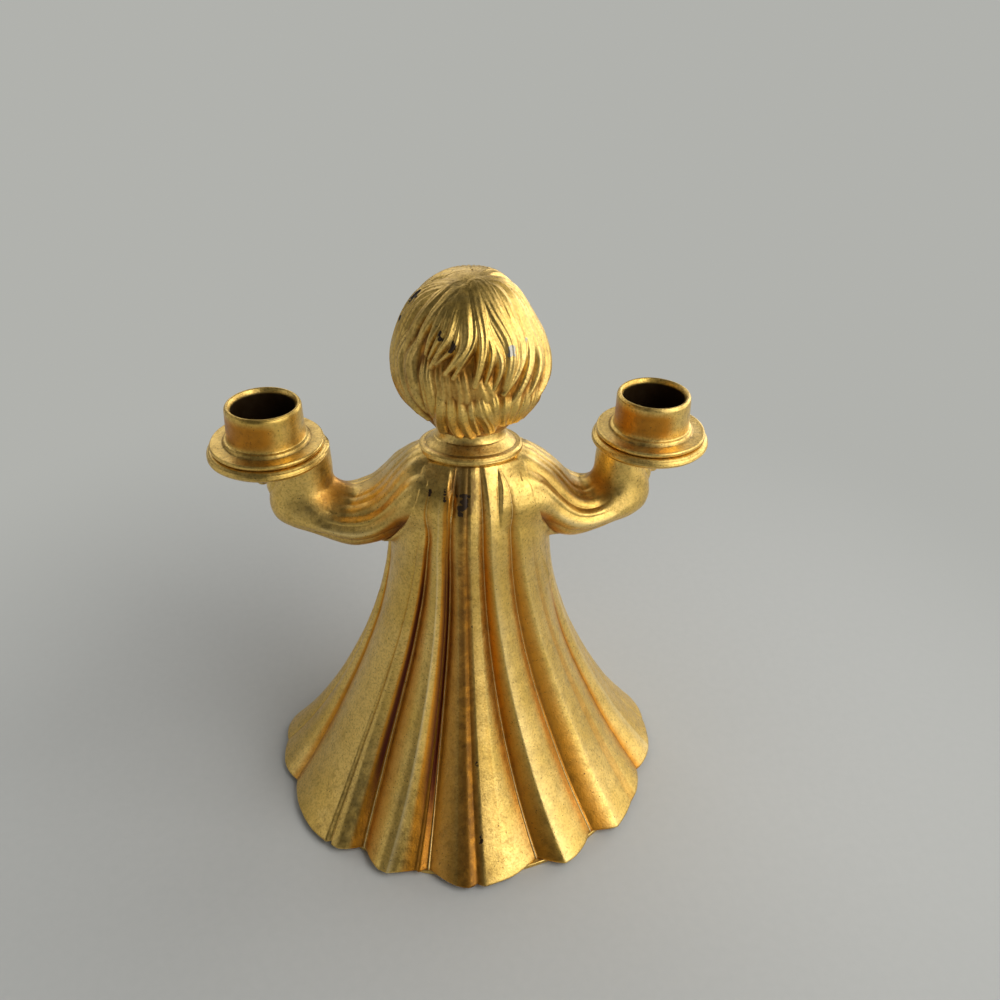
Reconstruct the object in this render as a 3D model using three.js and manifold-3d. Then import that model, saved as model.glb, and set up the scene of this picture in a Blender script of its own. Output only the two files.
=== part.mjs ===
// A choir boy candle holder: a hollow moulded figure in a pleated robe, with a candle cup on each hand.
// Millimetres, +Z up. The figure faces -Y and its left hand is on +X.
// The origin is on the table, under the figure's vertical axis.
import * as THREE from "three";
import { mergeVertices } from "three/addons/utils/BufferGeometryUtils.js";
import Module from "manifold-3d";

// Robe
const ROBE_TOP = 128; // height of the seat for the collar
const HEM_RADIUS = 70; // over the pleats at the hem, straight behind
const HEM_SIDE_RADIUS = 68; // and at the sides
const HEM_FRONT_RADIUS = 44; // and straight in front, where the hem is flatter
const CHEST_RADIUS = 26.9; // under the arms
const CHEST_DROP = 28; // from the collar's seat down to the narrowest part of the robe
const YOKE_RADIUS = 15; // edge of the collar's seat
const SKIRT_FLARE = 1.83; // power of the curve from chest to hem
const WALL = 2.2;
const PLEAT_DEPTH = 5.5; // from ridge to valley at the hem
const PLEAT_TOP_DROP = 10; // from the collar's seat down to where the pleats begin
const PLEAT_FADE = 0.6; // power of the pleats' growth towards the hem
const PLEAT_ROUNDNESS = 0.7; // power of the ridge's curve, lower is flatter with a sharper valley
const BACK_VALLEYS = [19, 54, 74.5, 106.6, 125.8, 155.3]; // degrees from +X, on the back
const FRONT_VALLEYS = [204.7, 234.2, 253.4, 285.5, 306, 336]; // and on the front

// Base plate
const BASE_THICKNESS = 1.6;
const BASE_LIP = 1.3; // how far the plate shows past the valleys of the hem
const BASE_RIM_HEIGHT = 4;
const BASE_RIM_WALL = 2;

// Pins and sockets that line up the two halves of the robe
const PIN_HEIGHTS = [22, 66];
const PIN_RADIUS = 1.5;
const PIN_LENGTH = 4;
const BOSS_RADIUS = 3.5;
const BOSS_LENGTH = 7;

// Neck and collar
const COLLAR_RADIUS = 16.5;
const COLLAR_HEIGHT = 3.4;
const COVE_DIP = 0.5; // how far the neck's cove dips behind the collar's roll
const COVE_HEIGHT = 1.8; // and how far it climbs above the roll
const NECK_RADIUS = 10;
const NECK_LENGTH = 9.6; // from the collar to the head
const NECK_PLUG_RADIUS = 9;
const NECK_PLUG_LENGTH = 9; // down into the robe
const HEAD_PLUG_RADIUS = 7.5;
const HEAD_PLUG_LENGTH = 9; // up into the head

// Head
const HEAD_HEIGHT = 46;
const HEAD_HALF_WIDTH = 24.5;
const HEAD_BACK_DEPTH = 25;
const HEAD_FACE_DEPTH = 23.5;
const HEAD_FOOT_SIZE = 13; // half width of the flat that sits on the neck
const HEAD_WIDEST = 16.5; // height of the widest part above the neck
const NOSE_HALF_WIDTH = 3;
const NOSE_HALF_LENGTH = 4.2;
const NOSE_HEIGHT = 12.4; // above the neck

// Arms
const LEFT_REACH = 64.4; // axis of the left cup from the figure's axis
const RIGHT_REACH = 60; // axis of the right cup
const HAND_FORWARD = 6; // the cups stand this far in front of the figure's axis
const HAND_DROP = 5.3; // from the collar's seat down to the top of the hand
const SHOULDER_DROP = 1; // from the collar's seat down to the top of the sleeve at the yoke
const SHOULDER_OUTSET = 3; // from the yoke's edge out to where the sleeve's top line starts to fall
const ARMPIT_DROP = 30;
const SLEEVE_SAG = 33; // from the collar's seat down to the lowest part of the sleeve
const SAG_INSET = 25; // from the cup's axis back to the lowest part of the sleeve
const PIT_INSET = 21.5; // from the cup's axis back to the crook of the arm
const PIT_DROP = 16.2; // from the collar's seat down to the crook of the arm
const FOREARM_CLIMB = 3.2; // from the lowest part of the sleeve up to half way out to the cuff
const CUFF_CORNER_CLIMB = 8.5; // and up to the cuff's lower corner
const CUFF_CORNER_INSET = 2;
const CUFF_INSET = 18.5; // from the cup's axis back to the cuff's inner edge
const CUFF_DROP = 15; // from the collar's seat down to the cuff's outer edge
const SHOULDER_HALF_DEPTH = 18;
const CUFF_HALF_DEPTH = 9.5;
const TAPER_START = 0.1; // share of the sleeve at which it starts to narrow and to turn forwards
const TAPER_END = 0.85; // and at which it has narrowed to the cuff
const SLEEVE_SQUARENESS = 2.4; // 2 is an ellipse, more is squarer
const TENON_DROP = 22;
const TENON_RADIUS = 5;
const KEEPER_RADIUS = 7.5;
const KEEPER_THICKNESS = 3;
const PALM_RADIUS = 8.5;
const PALM_FOOT_RADIUS = 5;
const PALM_THICKNESS = 6.4;
const WRIST_HALF_WIDTH = 9.2;
const WRIST_HALF_DEPTH = 6.8;
const WRIST_HALF_HEIGHT = 10.9;
const FINGER_COUNT = 4;
const FINGER_RADIUS = 2.3;
const FINGER_PITCH = 4.1;
const FINGER_LENGTH = 15;
const FINGER_OUTSET = 8; // middle of the fingers in front of the cup's axis

// Candle cups, pans and screws
const CUP_BORE_RADIUS = 10;
const CUP_WALL = 2.1;
const CUP_HEIGHT = 12.5; // above its flange
const CUP_FLOOR = 2.2;
const CUP_FOOT_RING = 1; // step around the foot of the cup
const FLANGE_RADIUS = 18;
const FLANGE_THICKNESS = 1.9;
const PAN_RADIUS = 19.2;
const PAN_THICKNESS = 3.6;
const PAN_HUB_FLOOR = 1.7;
const PAN_HUB_WALL = 1.8;
const SCREW_RADIUS = 1.4;
const SCREW_LENGTH = 9.4;
const SCREW_HEAD_RADIUS = 3.2;
const SCREW_HEAD_HEIGHT = 1.8;
const SCREW_HEAD_BEVEL = 0.7;
const SCREW_SLOT = 0.8;

// Fits
const FIT = 0.3; // clearance between pieces that plug or lie together
const SEAM = 0.3; // gap along the parting lines
const SCREW_FIT = 0.2;
const EMBED = 1; // how far joined shapes run into each other

// Fineness of the curved faces
const PLEAT_STEPS = 6;
const ROUND_STEPS = 24;
const SMALL_STEPS = 12;
const RING_STEPS = 20;
const SLEEVE_ROWS = 12;
const ROLL_STEPS = 5;
// Levels of the rings, as shares of the height of the robe and of the head
const ROBE_BENDS = [0.03, 0.1, 0.2, 0.33, 0.47, 0.6, 0.72, 0.81, 0.89, 0.95, 0.98];
const HEAD_BENDS = [0, 0.1, 0.2, 0.36, 0.52, 0.67, 0.8, 0.9, 0.97, 1];

// Heights and places that follow from the sizes above
const CHEST_HEIGHT = ROBE_TOP - CHEST_DROP;
const PLEAT_TOP = ROBE_TOP - PLEAT_TOP_DROP;
const HEAD_FOOT = ROBE_TOP + COLLAR_HEIGHT + NECK_LENGTH;
const HAND_TOP = ROBE_TOP - HAND_DROP;
const TENON_HEIGHT = ROBE_TOP - TENON_DROP;
const CUP_OUTER_RADIUS = CUP_BORE_RADIUS + CUP_WALL;
const HUB_RADIUS = CUP_OUTER_RADIUS + FIT;
const CUP_SEAT = HAND_TOP + PAN_HUB_FLOOR;
const PAN_TOP = CUP_SEAT + PAN_THICKNESS;
const FLANGE_FOOT = PAN_TOP + FIT;
const FLANGE_TOP = FLANGE_FOOT + FLANGE_THICKNESS;
const SOCKET_FLOOR = CUP_SEAT + CUP_FLOOR;
const FAR = 400; // larger than the figure, for cutting planes

const wasm = await Module();
wasm.setup();

// A closed geometry as a solid, turned the right way out
function solid(geometry) {
  const bare = geometry.clone();
  bare.deleteAttribute("normal");
  bare.deleteAttribute("uv");
  const merged = mergeVertices(bare);
  const vertProperties = new Float32Array(merged.attributes.position.array);
  const build = (order) => {
    const corners = [];
    for (let i = 0; i < merged.index.count; i += 3) {
      const face = order.map((step) => merged.index.getX(i + step));
      if (new Set(face).size === 3) corners.push(...face);
    }
    const triVerts = new Uint32Array(corners);
    return new wasm.Manifold(new wasm.Mesh({ numProp: 3, vertProperties, triVerts }));
  };
  const body = build([0, 1, 2]);
  return body.volume() > 0 ? body : build([0, 2, 1]);
}

function geometryOf(body) {
  const { vertProperties, triVerts } = body.getMesh();
  const geometry = new THREE.BufferGeometry();
  geometry.setAttribute("position", new THREE.BufferAttribute(vertProperties, 3));
  geometry.setIndex(new THREE.BufferAttribute(triVerts, 1));
  geometry.computeVertexNormals();
  return geometry;
}

function join(bodies) {
  return bodies.reduce((whole, body) => whole.add(body));
}

// A closed skin over a stack of rings with equal counts, with a fan over each end
function loft(rings) {
  const count = rings[0].length;
  const last = rings.length - 1;
  const points = rings.flat();
  const faces = [];
  const centreOf = (ring) => ring.reduce((sum, p) => sum.add(p), new THREE.Vector3()).divideScalar(count);
  const bottom = points.push(centreOf(rings[0])) - 1;
  const top = points.push(centreOf(rings[last])) - 1;
  for (let i = 0; i < count; i++) {
    const next = (i + 1) % count;
    for (let row = 0; row < last; row++) {
      const low = row * count;
      const high = low + count;
      faces.push(low + i, low + next, high + next, low + i, high + next, high + i);
    }
    faces.push(bottom, next, i, top, last * count + i, last * count + next);
  }
  const geometry = new THREE.BufferGeometry().setFromPoints(points);
  geometry.setIndex(faces);
  return solid(geometry);
}

// A solid turned about the vertical axis from [radius, height] corners
function turned(profile, steps = ROUND_STEPS) {
  const points = profile.map(([radius, height]) => new THREE.Vector2(radius, height));
  return solid(new THREE.LatheGeometry(points, steps).rotateX(Math.PI / 2));
}

// A turned ring, whose profile closes on itself away from the axis
function turnedRing(profile, steps = ROUND_STEPS) {
  return turned([...profile, profile[0]], steps);
}

// A vertical cylinder between two heights
function column(radius, low, high, steps = ROUND_STEPS) {
  return turned([[0, low], [radius, low], [radius, high], [0, high]], steps);
}

// A cylinder along X or Y that starts at a point
function bar(radius, length, start, alongX, steps = SMALL_STEPS) {
  const geometry = new THREE.CylinderGeometry(radius, radius, length, steps).translate(0, length / 2, 0);
  if (alongX) geometry.rotateZ(-Math.PI / 2);
  return solid(geometry.translate(...start));
}

function ellipsoid(halfAxes, centre, steps = SMALL_STEPS) {
  const geometry = new THREE.SphereGeometry(1, steps, steps / 2);
  return solid(geometry.scale(...halfAxes).translate(...centre));
}

function block(size, centre) {
  return solid(new THREE.BoxGeometry(...size).translate(...centre));
}

// The two sides of a parting plane across Y, with half the seam's gap on each
function partAcrossY(body) {
  const half = [FAR, FAR, FAR];
  const offset = (FAR + SEAM) / 2;
  return {
    back: body.intersect(block(half, [0, offset, 0])),
    front: body.intersect(block(half, [0, -offset, 0])),
  };
}

// Robe

const VALLEYS = [...BACK_VALLEYS, ...FRONT_VALLEYS];

// The angles of the robe's rings: even steps from each valley to the next
const PLEATS = VALLEYS.map((start, index) => ({ start, end: VALLEYS[index + 1] ?? VALLEYS[0] + 360 }));
const RING_ANGLES = PLEATS.flatMap(({ start, end }) =>
  Array.from({ length: PLEAT_STEPS }, (_, step) => start + ((end - start) * step) / PLEAT_STEPS),
);

// Height of the pleats at an angle: 0 in a valley and 1 on a ridge
function pleatRise(degrees) {
  const angle = degrees < VALLEYS[0] ? degrees + 360 : degrees;
  const { start, end } = PLEATS.findLast((pleat) => pleat.start <= angle);
  return Math.sin((Math.PI * (angle - start)) / (end - start)) ** PLEAT_ROUNDNESS;
}

// Radius of the hem over its ridges: nearly round behind and a flat ellipse in front
function hemRadius(degrees) {
  const angle = THREE.MathUtils.degToRad(degrees);
  const depth = Math.sin(angle) > 0 ? HEM_RADIUS : HEM_FRONT_RADIUS;
  return 1 / Math.hypot(Math.cos(angle) / HEM_SIDE_RADIUS, Math.sin(angle) / depth);
}

// Radius over the ridges at an angle and a height
function ridgeRadius(degrees, z) {
  if (z < CHEST_HEIGHT) {
    const share = (CHEST_HEIGHT - z) / (CHEST_HEIGHT - BASE_THICKNESS);
    return CHEST_RADIUS + (hemRadius(degrees) - CHEST_RADIUS) * share ** SKIRT_FLARE;
  }
  const share = (z - CHEST_HEIGHT) / (ROBE_TOP - CHEST_HEIGHT);
  return YOKE_RADIUS + (CHEST_RADIUS - YOKE_RADIUS) * Math.sqrt(Math.max(0, 1 - share * share));
}

function pleatDepth(z) {
  const share = (PLEAT_TOP - z) / (PLEAT_TOP - BASE_THICKNESS);
  return PLEAT_DEPTH * Math.max(0, share) ** PLEAT_FADE;
}

function valleyRadius(degrees, z) {
  return ridgeRadius(degrees, z) - pleatDepth(z);
}

function robeRadius(degrees, z) {
  return valleyRadius(degrees, z) + pleatDepth(z) * pleatRise(degrees);
}

// A level ring whose radius depends on the angle
function ringAt(z, radiusAt) {
  return RING_ANGLES.map((degrees) => {
    const angle = THREE.MathUtils.degToRad(degrees % 360);
    const radius = radiusAt(degrees % 360);
    return new THREE.Vector3(radius * Math.cos(angle), radius * Math.sin(angle), z);
  });
}

// The robe's body, filled, between two heights and set in from its outer face
function robeBody(low, high, inset) {
  const heights = ROBE_BENDS.map((share) => BASE_THICKNESS + share * (ROBE_TOP - BASE_THICKNESS));
  const between = heights.filter((z) => z > low + EMBED && z < high - EMBED);
  return loft([low, ...between, high].map((z) => ringAt(z, (degrees) => robeRadius(degrees, z) - inset)));
}

const robeOuter = robeBody(BASE_THICKNESS, ROBE_TOP, 0);
const robeGrown = robeBody(BASE_THICKNESS, ROBE_TOP, -FIT);
const robeClear = robeBody(BASE_THICKNESS, ROBE_TOP - WALL - FIT, WALL + FIT);

function armTenonHole(side) {
  return bar(TENON_RADIUS + FIT, FAR, [side > 0 ? 0 : -FAR, 0, TENON_HEIGHT], true);
}

function robeHalves() {
  const hollow = robeBody(BASE_THICKNESS - EMBED, ROBE_TOP - WALL, WALL);
  const neckBore = column(NECK_PLUG_RADIUS + FIT, ROBE_TOP - WALL - EMBED, ROBE_TOP + EMBED);
  let shell = robeOuter.subtract(hollow).subtract(neckBore);
  for (const side of [1, -1]) shell = shell.subtract(armTenonHole(side));
  const { back, front } = partAcrossY(shell);
  const posts = { back: [back], front: [front] };
  const sockets = [];
  for (const side of [1, -1]) {
    for (const height of PIN_HEIGHTS) {
      const x = side * (robeRadius(side > 0 ? 0 : 180, height) - WALL - BOSS_RADIUS / 2);
      posts.back.push(bar(BOSS_RADIUS, BOSS_LENGTH, [x, SEAM / 2, height], false).intersect(robeOuter));
      posts.back.push(bar(PIN_RADIUS, PIN_LENGTH + EMBED, [x, -PIN_LENGTH, height], false));
      posts.front.push(
        bar(BOSS_RADIUS, BOSS_LENGTH, [x, -SEAM / 2 - BOSS_LENGTH, height], false).intersect(robeOuter),
      );
      sockets.push(bar(PIN_RADIUS + FIT, PIN_LENGTH + FIT + EMBED, [x, -PIN_LENGTH - FIT, height], false));
    }
  }
  return { back: join(posts.back), front: join(posts.front).subtract(join(sockets)) };
}

// Base plate with a rim that stands inside the hem
function basePlate() {
  const rimTop = BASE_THICKNESS + BASE_RIM_HEIGHT;
  const plateEdge = (degrees) => valleyRadius(degrees, BASE_THICKNESS) + BASE_LIP;
  const rimOutside = (degrees) => valleyRadius(degrees, rimTop) - WALL - FIT;
  const rimInside = (degrees) => rimOutside(degrees) - BASE_RIM_WALL;
  const slab = (radiusAt, low, high) => loft([ringAt(low, radiusAt), ringAt(high, radiusAt)]);
  const rim = slab(rimOutside, BASE_THICKNESS - EMBED, rimTop);
  const space = slab(rimInside, BASE_THICKNESS, rimTop + EMBED);
  return slab(plateEdge, 0, BASE_THICKNESS).add(rim).subtract(space);
}

// Neck with its rolled collar, plugged into the robe below and into the head above
function neckCollar() {
  const roll = COLLAR_HEIGHT / 2;
  const rollCentre = COLLAR_RADIUS - roll;
  const profile = [
    [0, ROBE_TOP - NECK_PLUG_LENGTH],
    [NECK_PLUG_RADIUS, ROBE_TOP - NECK_PLUG_LENGTH],
    [NECK_PLUG_RADIUS, ROBE_TOP],
  ];
  for (let step = 0; step <= ROLL_STEPS; step++) {
    const turn = -Math.PI / 2 + (Math.PI * step) / ROLL_STEPS;
    profile.push([rollCentre + roll * Math.cos(turn), ROBE_TOP + roll + roll * Math.sin(turn)]);
  }
  profile.push([(rollCentre + NECK_RADIUS) / 2, ROBE_TOP + COLLAR_HEIGHT - COVE_DIP]);
  profile.push([NECK_RADIUS, ROBE_TOP + COLLAR_HEIGHT + COVE_HEIGHT]);
  profile.push([NECK_RADIUS, HEAD_FOOT]);
  profile.push([HEAD_PLUG_RADIUS, HEAD_FOOT]);
  profile.push([HEAD_PLUG_RADIUS, HEAD_FOOT + HEAD_PLUG_LENGTH]);
  profile.push([0, HEAD_FOOT + HEAD_PLUG_LENGTH]);
  return turned(profile);
}

// Head

function headRing(z, inset) {
  const widest = HEAD_FOOT + HEAD_WIDEST;
  const above = (z - widest) / (HEAD_HEIGHT - HEAD_WIDEST);
  const below = (z - HEAD_FOOT) / HEAD_WIDEST;
  const sizeOf = (half) =>
    above > 0
      ? half * Math.sqrt(Math.max(0, 1 - above * above))
      : HEAD_FOOT_SIZE + (half - HEAD_FOOT_SIZE) * Math.sin((below * Math.PI) / 2);
  return Array.from({ length: RING_STEPS }, (_, step) => {
    const angle = (2 * Math.PI * step) / RING_STEPS;
    const depth = Math.sin(angle) > 0 ? HEAD_BACK_DEPTH : HEAD_FACE_DEPTH;
    const x = Math.max(sizeOf(HEAD_HALF_WIDTH) - inset, EMBED) * Math.cos(angle);
    const y = Math.max(sizeOf(depth) - inset, EMBED) * Math.sin(angle);
    return new THREE.Vector3(x, y, z);
  });
}

function headBody(inset) {
  const span = HEAD_HEIGHT - 2 * inset;
  return loft(HEAD_BENDS.map((share) => headRing(HEAD_FOOT + inset + share * span, inset)));
}

function headHalves() {
  const plugHole = HEAD_PLUG_RADIUS + FIT;
  const noseSize = [NOSE_HALF_WIDTH, NOSE_HALF_WIDTH, NOSE_HALF_LENGTH];
  const nose = ellipsoid(noseSize, [0, -HEAD_FACE_DEPTH, HEAD_FOOT + NOSE_HEIGHT]);
  const socket = column(plugHole + WALL, HEAD_FOOT + WALL / 2, HEAD_FOOT + HEAD_PLUG_LENGTH + FIT);
  const outside = headBody(0).add(nose);
  const shell = outside.subtract(headBody(WALL)).add(socket);
  const bore = column(plugHole, HEAD_FOOT - EMBED, HEAD_FOOT + HEAD_PLUG_LENGTH + FIT + EMBED);
  return partAcrossY(shell.subtract(bore));
}

// Arms

// The sleeve's upper and lower lines, as [distance from the figure's axis, height]
function sleeveLines(reach) {
  const line = (points) => new THREE.SplineCurve(points.map(([x, z]) => new THREE.Vector2(x, z)));
  const pit = reach - PIT_INSET;
  const sag = reach - SAG_INSET;
  const sleeveTop = ROBE_TOP - SHOULDER_DROP;
  const pitHeight = ROBE_TOP - PIT_DROP;
  const cuffInside = reach - CUFF_INSET;
  const cuffTop = HAND_TOP - FIT;
  const cuffFoot = ROBE_TOP - CUFF_DROP;
  const sleeveFoot = ROBE_TOP - SLEEVE_SAG;
  return {
    upper: line([
      [YOKE_RADIUS / 2, sleeveTop],
      [YOKE_RADIUS + SHOULDER_OUTSET, sleeveTop],
      [(YOKE_RADIUS + SHOULDER_OUTSET + pit) / 2, (sleeveTop + pitHeight) / 2],
      [pit, pitHeight],
      [cuffInside, (pitHeight + cuffTop) / 2],
      [cuffInside, cuffTop],
    ]),
    lower: line([
      [YOKE_RADIUS / 2, ROBE_TOP - ARMPIT_DROP],
      [CHEST_RADIUS - WALL, ROBE_TOP - ARMPIT_DROP],
      [sag, sleeveFoot],
      [(sag + reach) / 2, sleeveFoot + FOREARM_CLIMB],
      [reach - CUFF_CORNER_INSET, sleeveFoot + CUFF_CORNER_CLIMB],
      [reach, cuffFoot],
    ]),
  };
}

// A rounded-square ring of the sleeve at a share of its length
function sleeveRing({ upper, lower }, side, share) {
  const top = upper.getPoint(share);
  const foot = lower.getPoint(share);
  const { lerp, smoothstep } = THREE.MathUtils;
  const halfDepth = lerp(SHOULDER_HALF_DEPTH, CUFF_HALF_DEPTH, smoothstep(share, TAPER_START, TAPER_END));
  const y = -HAND_FORWARD * smoothstep(share, TAPER_START, 1);
  const round = (value) => Math.sign(value) * Math.abs(value) ** (2 / SLEEVE_SQUARENESS);
  return Array.from({ length: RING_STEPS }, (_, step) => {
    const angle = (2 * Math.PI * step) / RING_STEPS;
    const point = foot.clone().lerp(top, (1 + round(Math.sin(angle))) / 2);
    return new THREE.Vector3(side * point.x, y + halfDepth * round(Math.cos(angle)), point.y);
  });
}

function sleeve(reach, side) {
  const lines = sleeveLines(reach);
  const shares = Array.from({ length: SLEEVE_ROWS + 1 }, (_, row) => row / SLEEVE_ROWS);
  return loft(shares.map((share) => sleeveRing(lines, side, share)));
}

// Palm up under the pan, with the wrist that stands in the cuff
function hand(reach, side) {
  const x = side * reach;
  const y = -HAND_FORWARD;
  const palm = turned([
    [0, HAND_TOP - PALM_THICKNESS],
    [PALM_FOOT_RADIUS, HAND_TOP - PALM_THICKNESS],
    [PALM_RADIUS, HAND_TOP - PALM_THICKNESS / 2],
    [PALM_RADIUS, HAND_TOP],
    [0, HAND_TOP],
  ]).translate([x, y, 0]);
  const wristSize = [WRIST_HALF_WIDTH, WRIST_HALF_DEPTH, WRIST_HALF_HEIGHT];
  const wrist = ellipsoid(wristSize, [x - side * WRIST_HALF_WIDTH, y, HAND_TOP - WRIST_HALF_HEIGHT]);
  const parts = [palm, wrist];
  for (let index = 0; index < FINGER_COUNT; index++) {
    const across = (index - (FINGER_COUNT - 1) / 2) * FINGER_PITCH;
    const centre = [x + across, y - FINGER_OUTSET, HAND_TOP - FINGER_RADIUS];
    parts.push(ellipsoid([FINGER_RADIUS, FINGER_LENGTH / 2, FINGER_RADIUS], centre));
  }
  const above = block([FAR, FAR, FAR], [0, 0, HAND_TOP + FAR / 2]);
  return join(parts).subtract(above);
}

// A tenon through the side of the robe, with a keeper behind the wall
function armTenon(reach, side) {
  const wallInside = valleyRadius(side > 0 ? 0 : 180, TENON_HEIGHT) - WALL - FIT;
  const keeperStart = wallInside - KEEPER_THICKNESS;
  const start = (inner, outer) => [side > 0 ? inner : -outer, 0, TENON_HEIGHT];
  const tenonEnd = reach - PIT_INSET;
  const tenon = bar(TENON_RADIUS, tenonEnd - keeperStart, start(keeperStart, tenonEnd), true);
  const keeper = bar(KEEPER_RADIUS, CHEST_RADIUS - keeperStart, start(keeperStart, CHEST_RADIUS), true);
  return tenon.add(keeper.intersect(robeClear));
}

function arm(reach, side) {
  const collarSpace = column(COLLAR_RADIUS + FIT, ROBE_TOP - FIT, ROBE_TOP + COLLAR_RADIUS);
  const screwTip = SOCKET_FLOOR - SCREW_LENGTH;
  const screwHole = column(SCREW_RADIUS + SCREW_FIT, screwTip - FIT, HAND_TOP + EMBED, SMALL_STEPS);
  return sleeve(reach, side)
    .add(hand(reach, side))
    .subtract(robeGrown)
    .subtract(collarSpace)
    .add(armTenon(reach, side))
    .subtract(screwHole.translate([side * reach, -HAND_FORWARD, 0]));
}

// Candle stand: pan, cup and screw about one vertical axis

function dripPan() {
  const hubOuter = HUB_RADIUS + PAN_HUB_WALL;
  const screwHole = SCREW_RADIUS + SCREW_FIT;
  const roll = PAN_THICKNESS / 2;
  const profile = [
    [screwHole, HAND_TOP],
    [hubOuter, HAND_TOP],
    [hubOuter, PAN_TOP - PAN_THICKNESS],
  ];
  for (let step = 0; step <= ROLL_STEPS; step++) {
    const turn = -Math.PI / 2 + (Math.PI * step) / ROLL_STEPS;
    profile.push([PAN_RADIUS - roll + roll * Math.cos(turn), PAN_TOP - roll + roll * Math.sin(turn)]);
  }
  profile.push([HUB_RADIUS, PAN_TOP], [HUB_RADIUS, CUP_SEAT], [screwHole, CUP_SEAT]);
  return turnedRing(profile);
}

function candleCup() {
  const screwHole = SCREW_RADIUS + SCREW_FIT;
  const rim = FLANGE_TOP + CUP_HEIGHT;
  const footRing = CUP_OUTER_RADIUS + CUP_FOOT_RING;
  return turnedRing([
    [screwHole, CUP_SEAT],
    [CUP_OUTER_RADIUS, CUP_SEAT],
    [CUP_OUTER_RADIUS, FLANGE_FOOT],
    [FLANGE_RADIUS, FLANGE_FOOT],
    [FLANGE_RADIUS, FLANGE_TOP],
    [footRing, FLANGE_TOP],
    [footRing, FLANGE_TOP + CUP_FOOT_RING],
    [CUP_OUTER_RADIUS, FLANGE_TOP + 2 * CUP_FOOT_RING],
    [CUP_OUTER_RADIUS, rim],
    [CUP_BORE_RADIUS, rim],
    [CUP_BORE_RADIUS, SOCKET_FLOOR],
    [screwHole, SOCKET_FLOOR],
  ]);
}

function cupScrew() {
  const headTop = SOCKET_FLOOR + SCREW_HEAD_HEIGHT;
  const body = turned(
    [
      [0, SOCKET_FLOOR - SCREW_LENGTH],
      [SCREW_RADIUS, SOCKET_FLOOR - SCREW_LENGTH + SCREW_RADIUS],
      [SCREW_RADIUS, SOCKET_FLOOR],
      [SCREW_HEAD_RADIUS, SOCKET_FLOOR],
      [SCREW_HEAD_RADIUS, headTop - SCREW_HEAD_BEVEL],
      [SCREW_HEAD_RADIUS - SCREW_HEAD_BEVEL, headTop],
      [0, headTop],
    ],
    SMALL_STEPS,
  );
  return body.subtract(block([FAR, SCREW_SLOT, SCREW_HEAD_HEIGHT], [0, 0, headTop]));
}

// Materials
const gold = new THREE.MeshStandardMaterial({ color: 0xc79a45, roughness: 0.38, metalness: 0.9 });
const amber = new THREE.MeshStandardMaterial({ color: 0x8a5a1e, roughness: 0.45, metalness: 0.1 });
const steel = new THREE.MeshStandardMaterial({ color: 0x9a9a96, roughness: 0.4, metalness: 0.9 });

function named(name, body, material) {
  const mesh = new THREE.Mesh(geometryOf(body), material);
  mesh.name = name;
  return mesh;
}

function candleStand(name, reach, side) {
  const stand = new THREE.Group();
  stand.position.set(side * reach, -HAND_FORWARD, 0);
  stand.add(named(`${name}_drip_pan`, dripPan(), gold));
  stand.add(named(`${name}_candle_cup`, candleCup(), gold));
  stand.add(named(`${name}_cup_screw`, cupScrew(), steel));
  return stand;
}

const holder = new THREE.Group();
const robe = robeHalves();
const head = headHalves();
holder.add(named("base_plate", basePlate(), amber));
holder.add(named("robe_back", robe.back, gold));
holder.add(named("robe_front", robe.front, gold));
holder.add(named("neck_collar", neckCollar(), gold));
holder.add(named("head_back", head.back, gold));
holder.add(named("head_front", head.front, gold));
for (const [name, reach, side] of [["left", LEFT_REACH, 1], ["right", RIGHT_REACH, -1]]) {
  holder.add(named(`${name}_arm`, arm(reach, side), gold));
  holder.add(candleStand(name, reach, side));
}

export default holder;
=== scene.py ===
"""Choir boy candle holder in worn gold, seen from behind on a plain pale floor.

Lengths are in millimetres until a mesh is made, then in metres. +Z is up, the figure faces -Y and its left
hand is on +X. Angles round the figure start at +X and pass the middle of the back at 90 degrees.
"""
import math
from collections import namedtuple

import bmesh
import bpy
import numpy as np
from mathutils import Matrix, Vector


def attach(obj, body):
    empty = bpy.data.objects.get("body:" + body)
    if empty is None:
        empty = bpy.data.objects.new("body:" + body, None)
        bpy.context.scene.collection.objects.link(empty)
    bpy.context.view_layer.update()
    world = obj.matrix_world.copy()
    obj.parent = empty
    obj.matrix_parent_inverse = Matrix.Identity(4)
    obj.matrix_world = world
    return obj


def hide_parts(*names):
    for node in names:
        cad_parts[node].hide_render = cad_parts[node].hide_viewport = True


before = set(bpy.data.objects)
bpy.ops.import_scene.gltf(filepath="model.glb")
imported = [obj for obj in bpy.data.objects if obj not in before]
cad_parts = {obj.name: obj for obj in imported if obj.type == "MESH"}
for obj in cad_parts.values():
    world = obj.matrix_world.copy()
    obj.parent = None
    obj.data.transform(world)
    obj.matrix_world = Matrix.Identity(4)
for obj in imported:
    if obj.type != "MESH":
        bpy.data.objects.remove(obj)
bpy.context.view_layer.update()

MM = 0.001
SEAM = 0.16  # gap between a back half and its front half
MELT_ROUNDS = 12  # steps in which robe and sleeve are melted together
MELT_MOST = 4.5
FAR = 99.0  # a gap that nothing melts across

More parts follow.
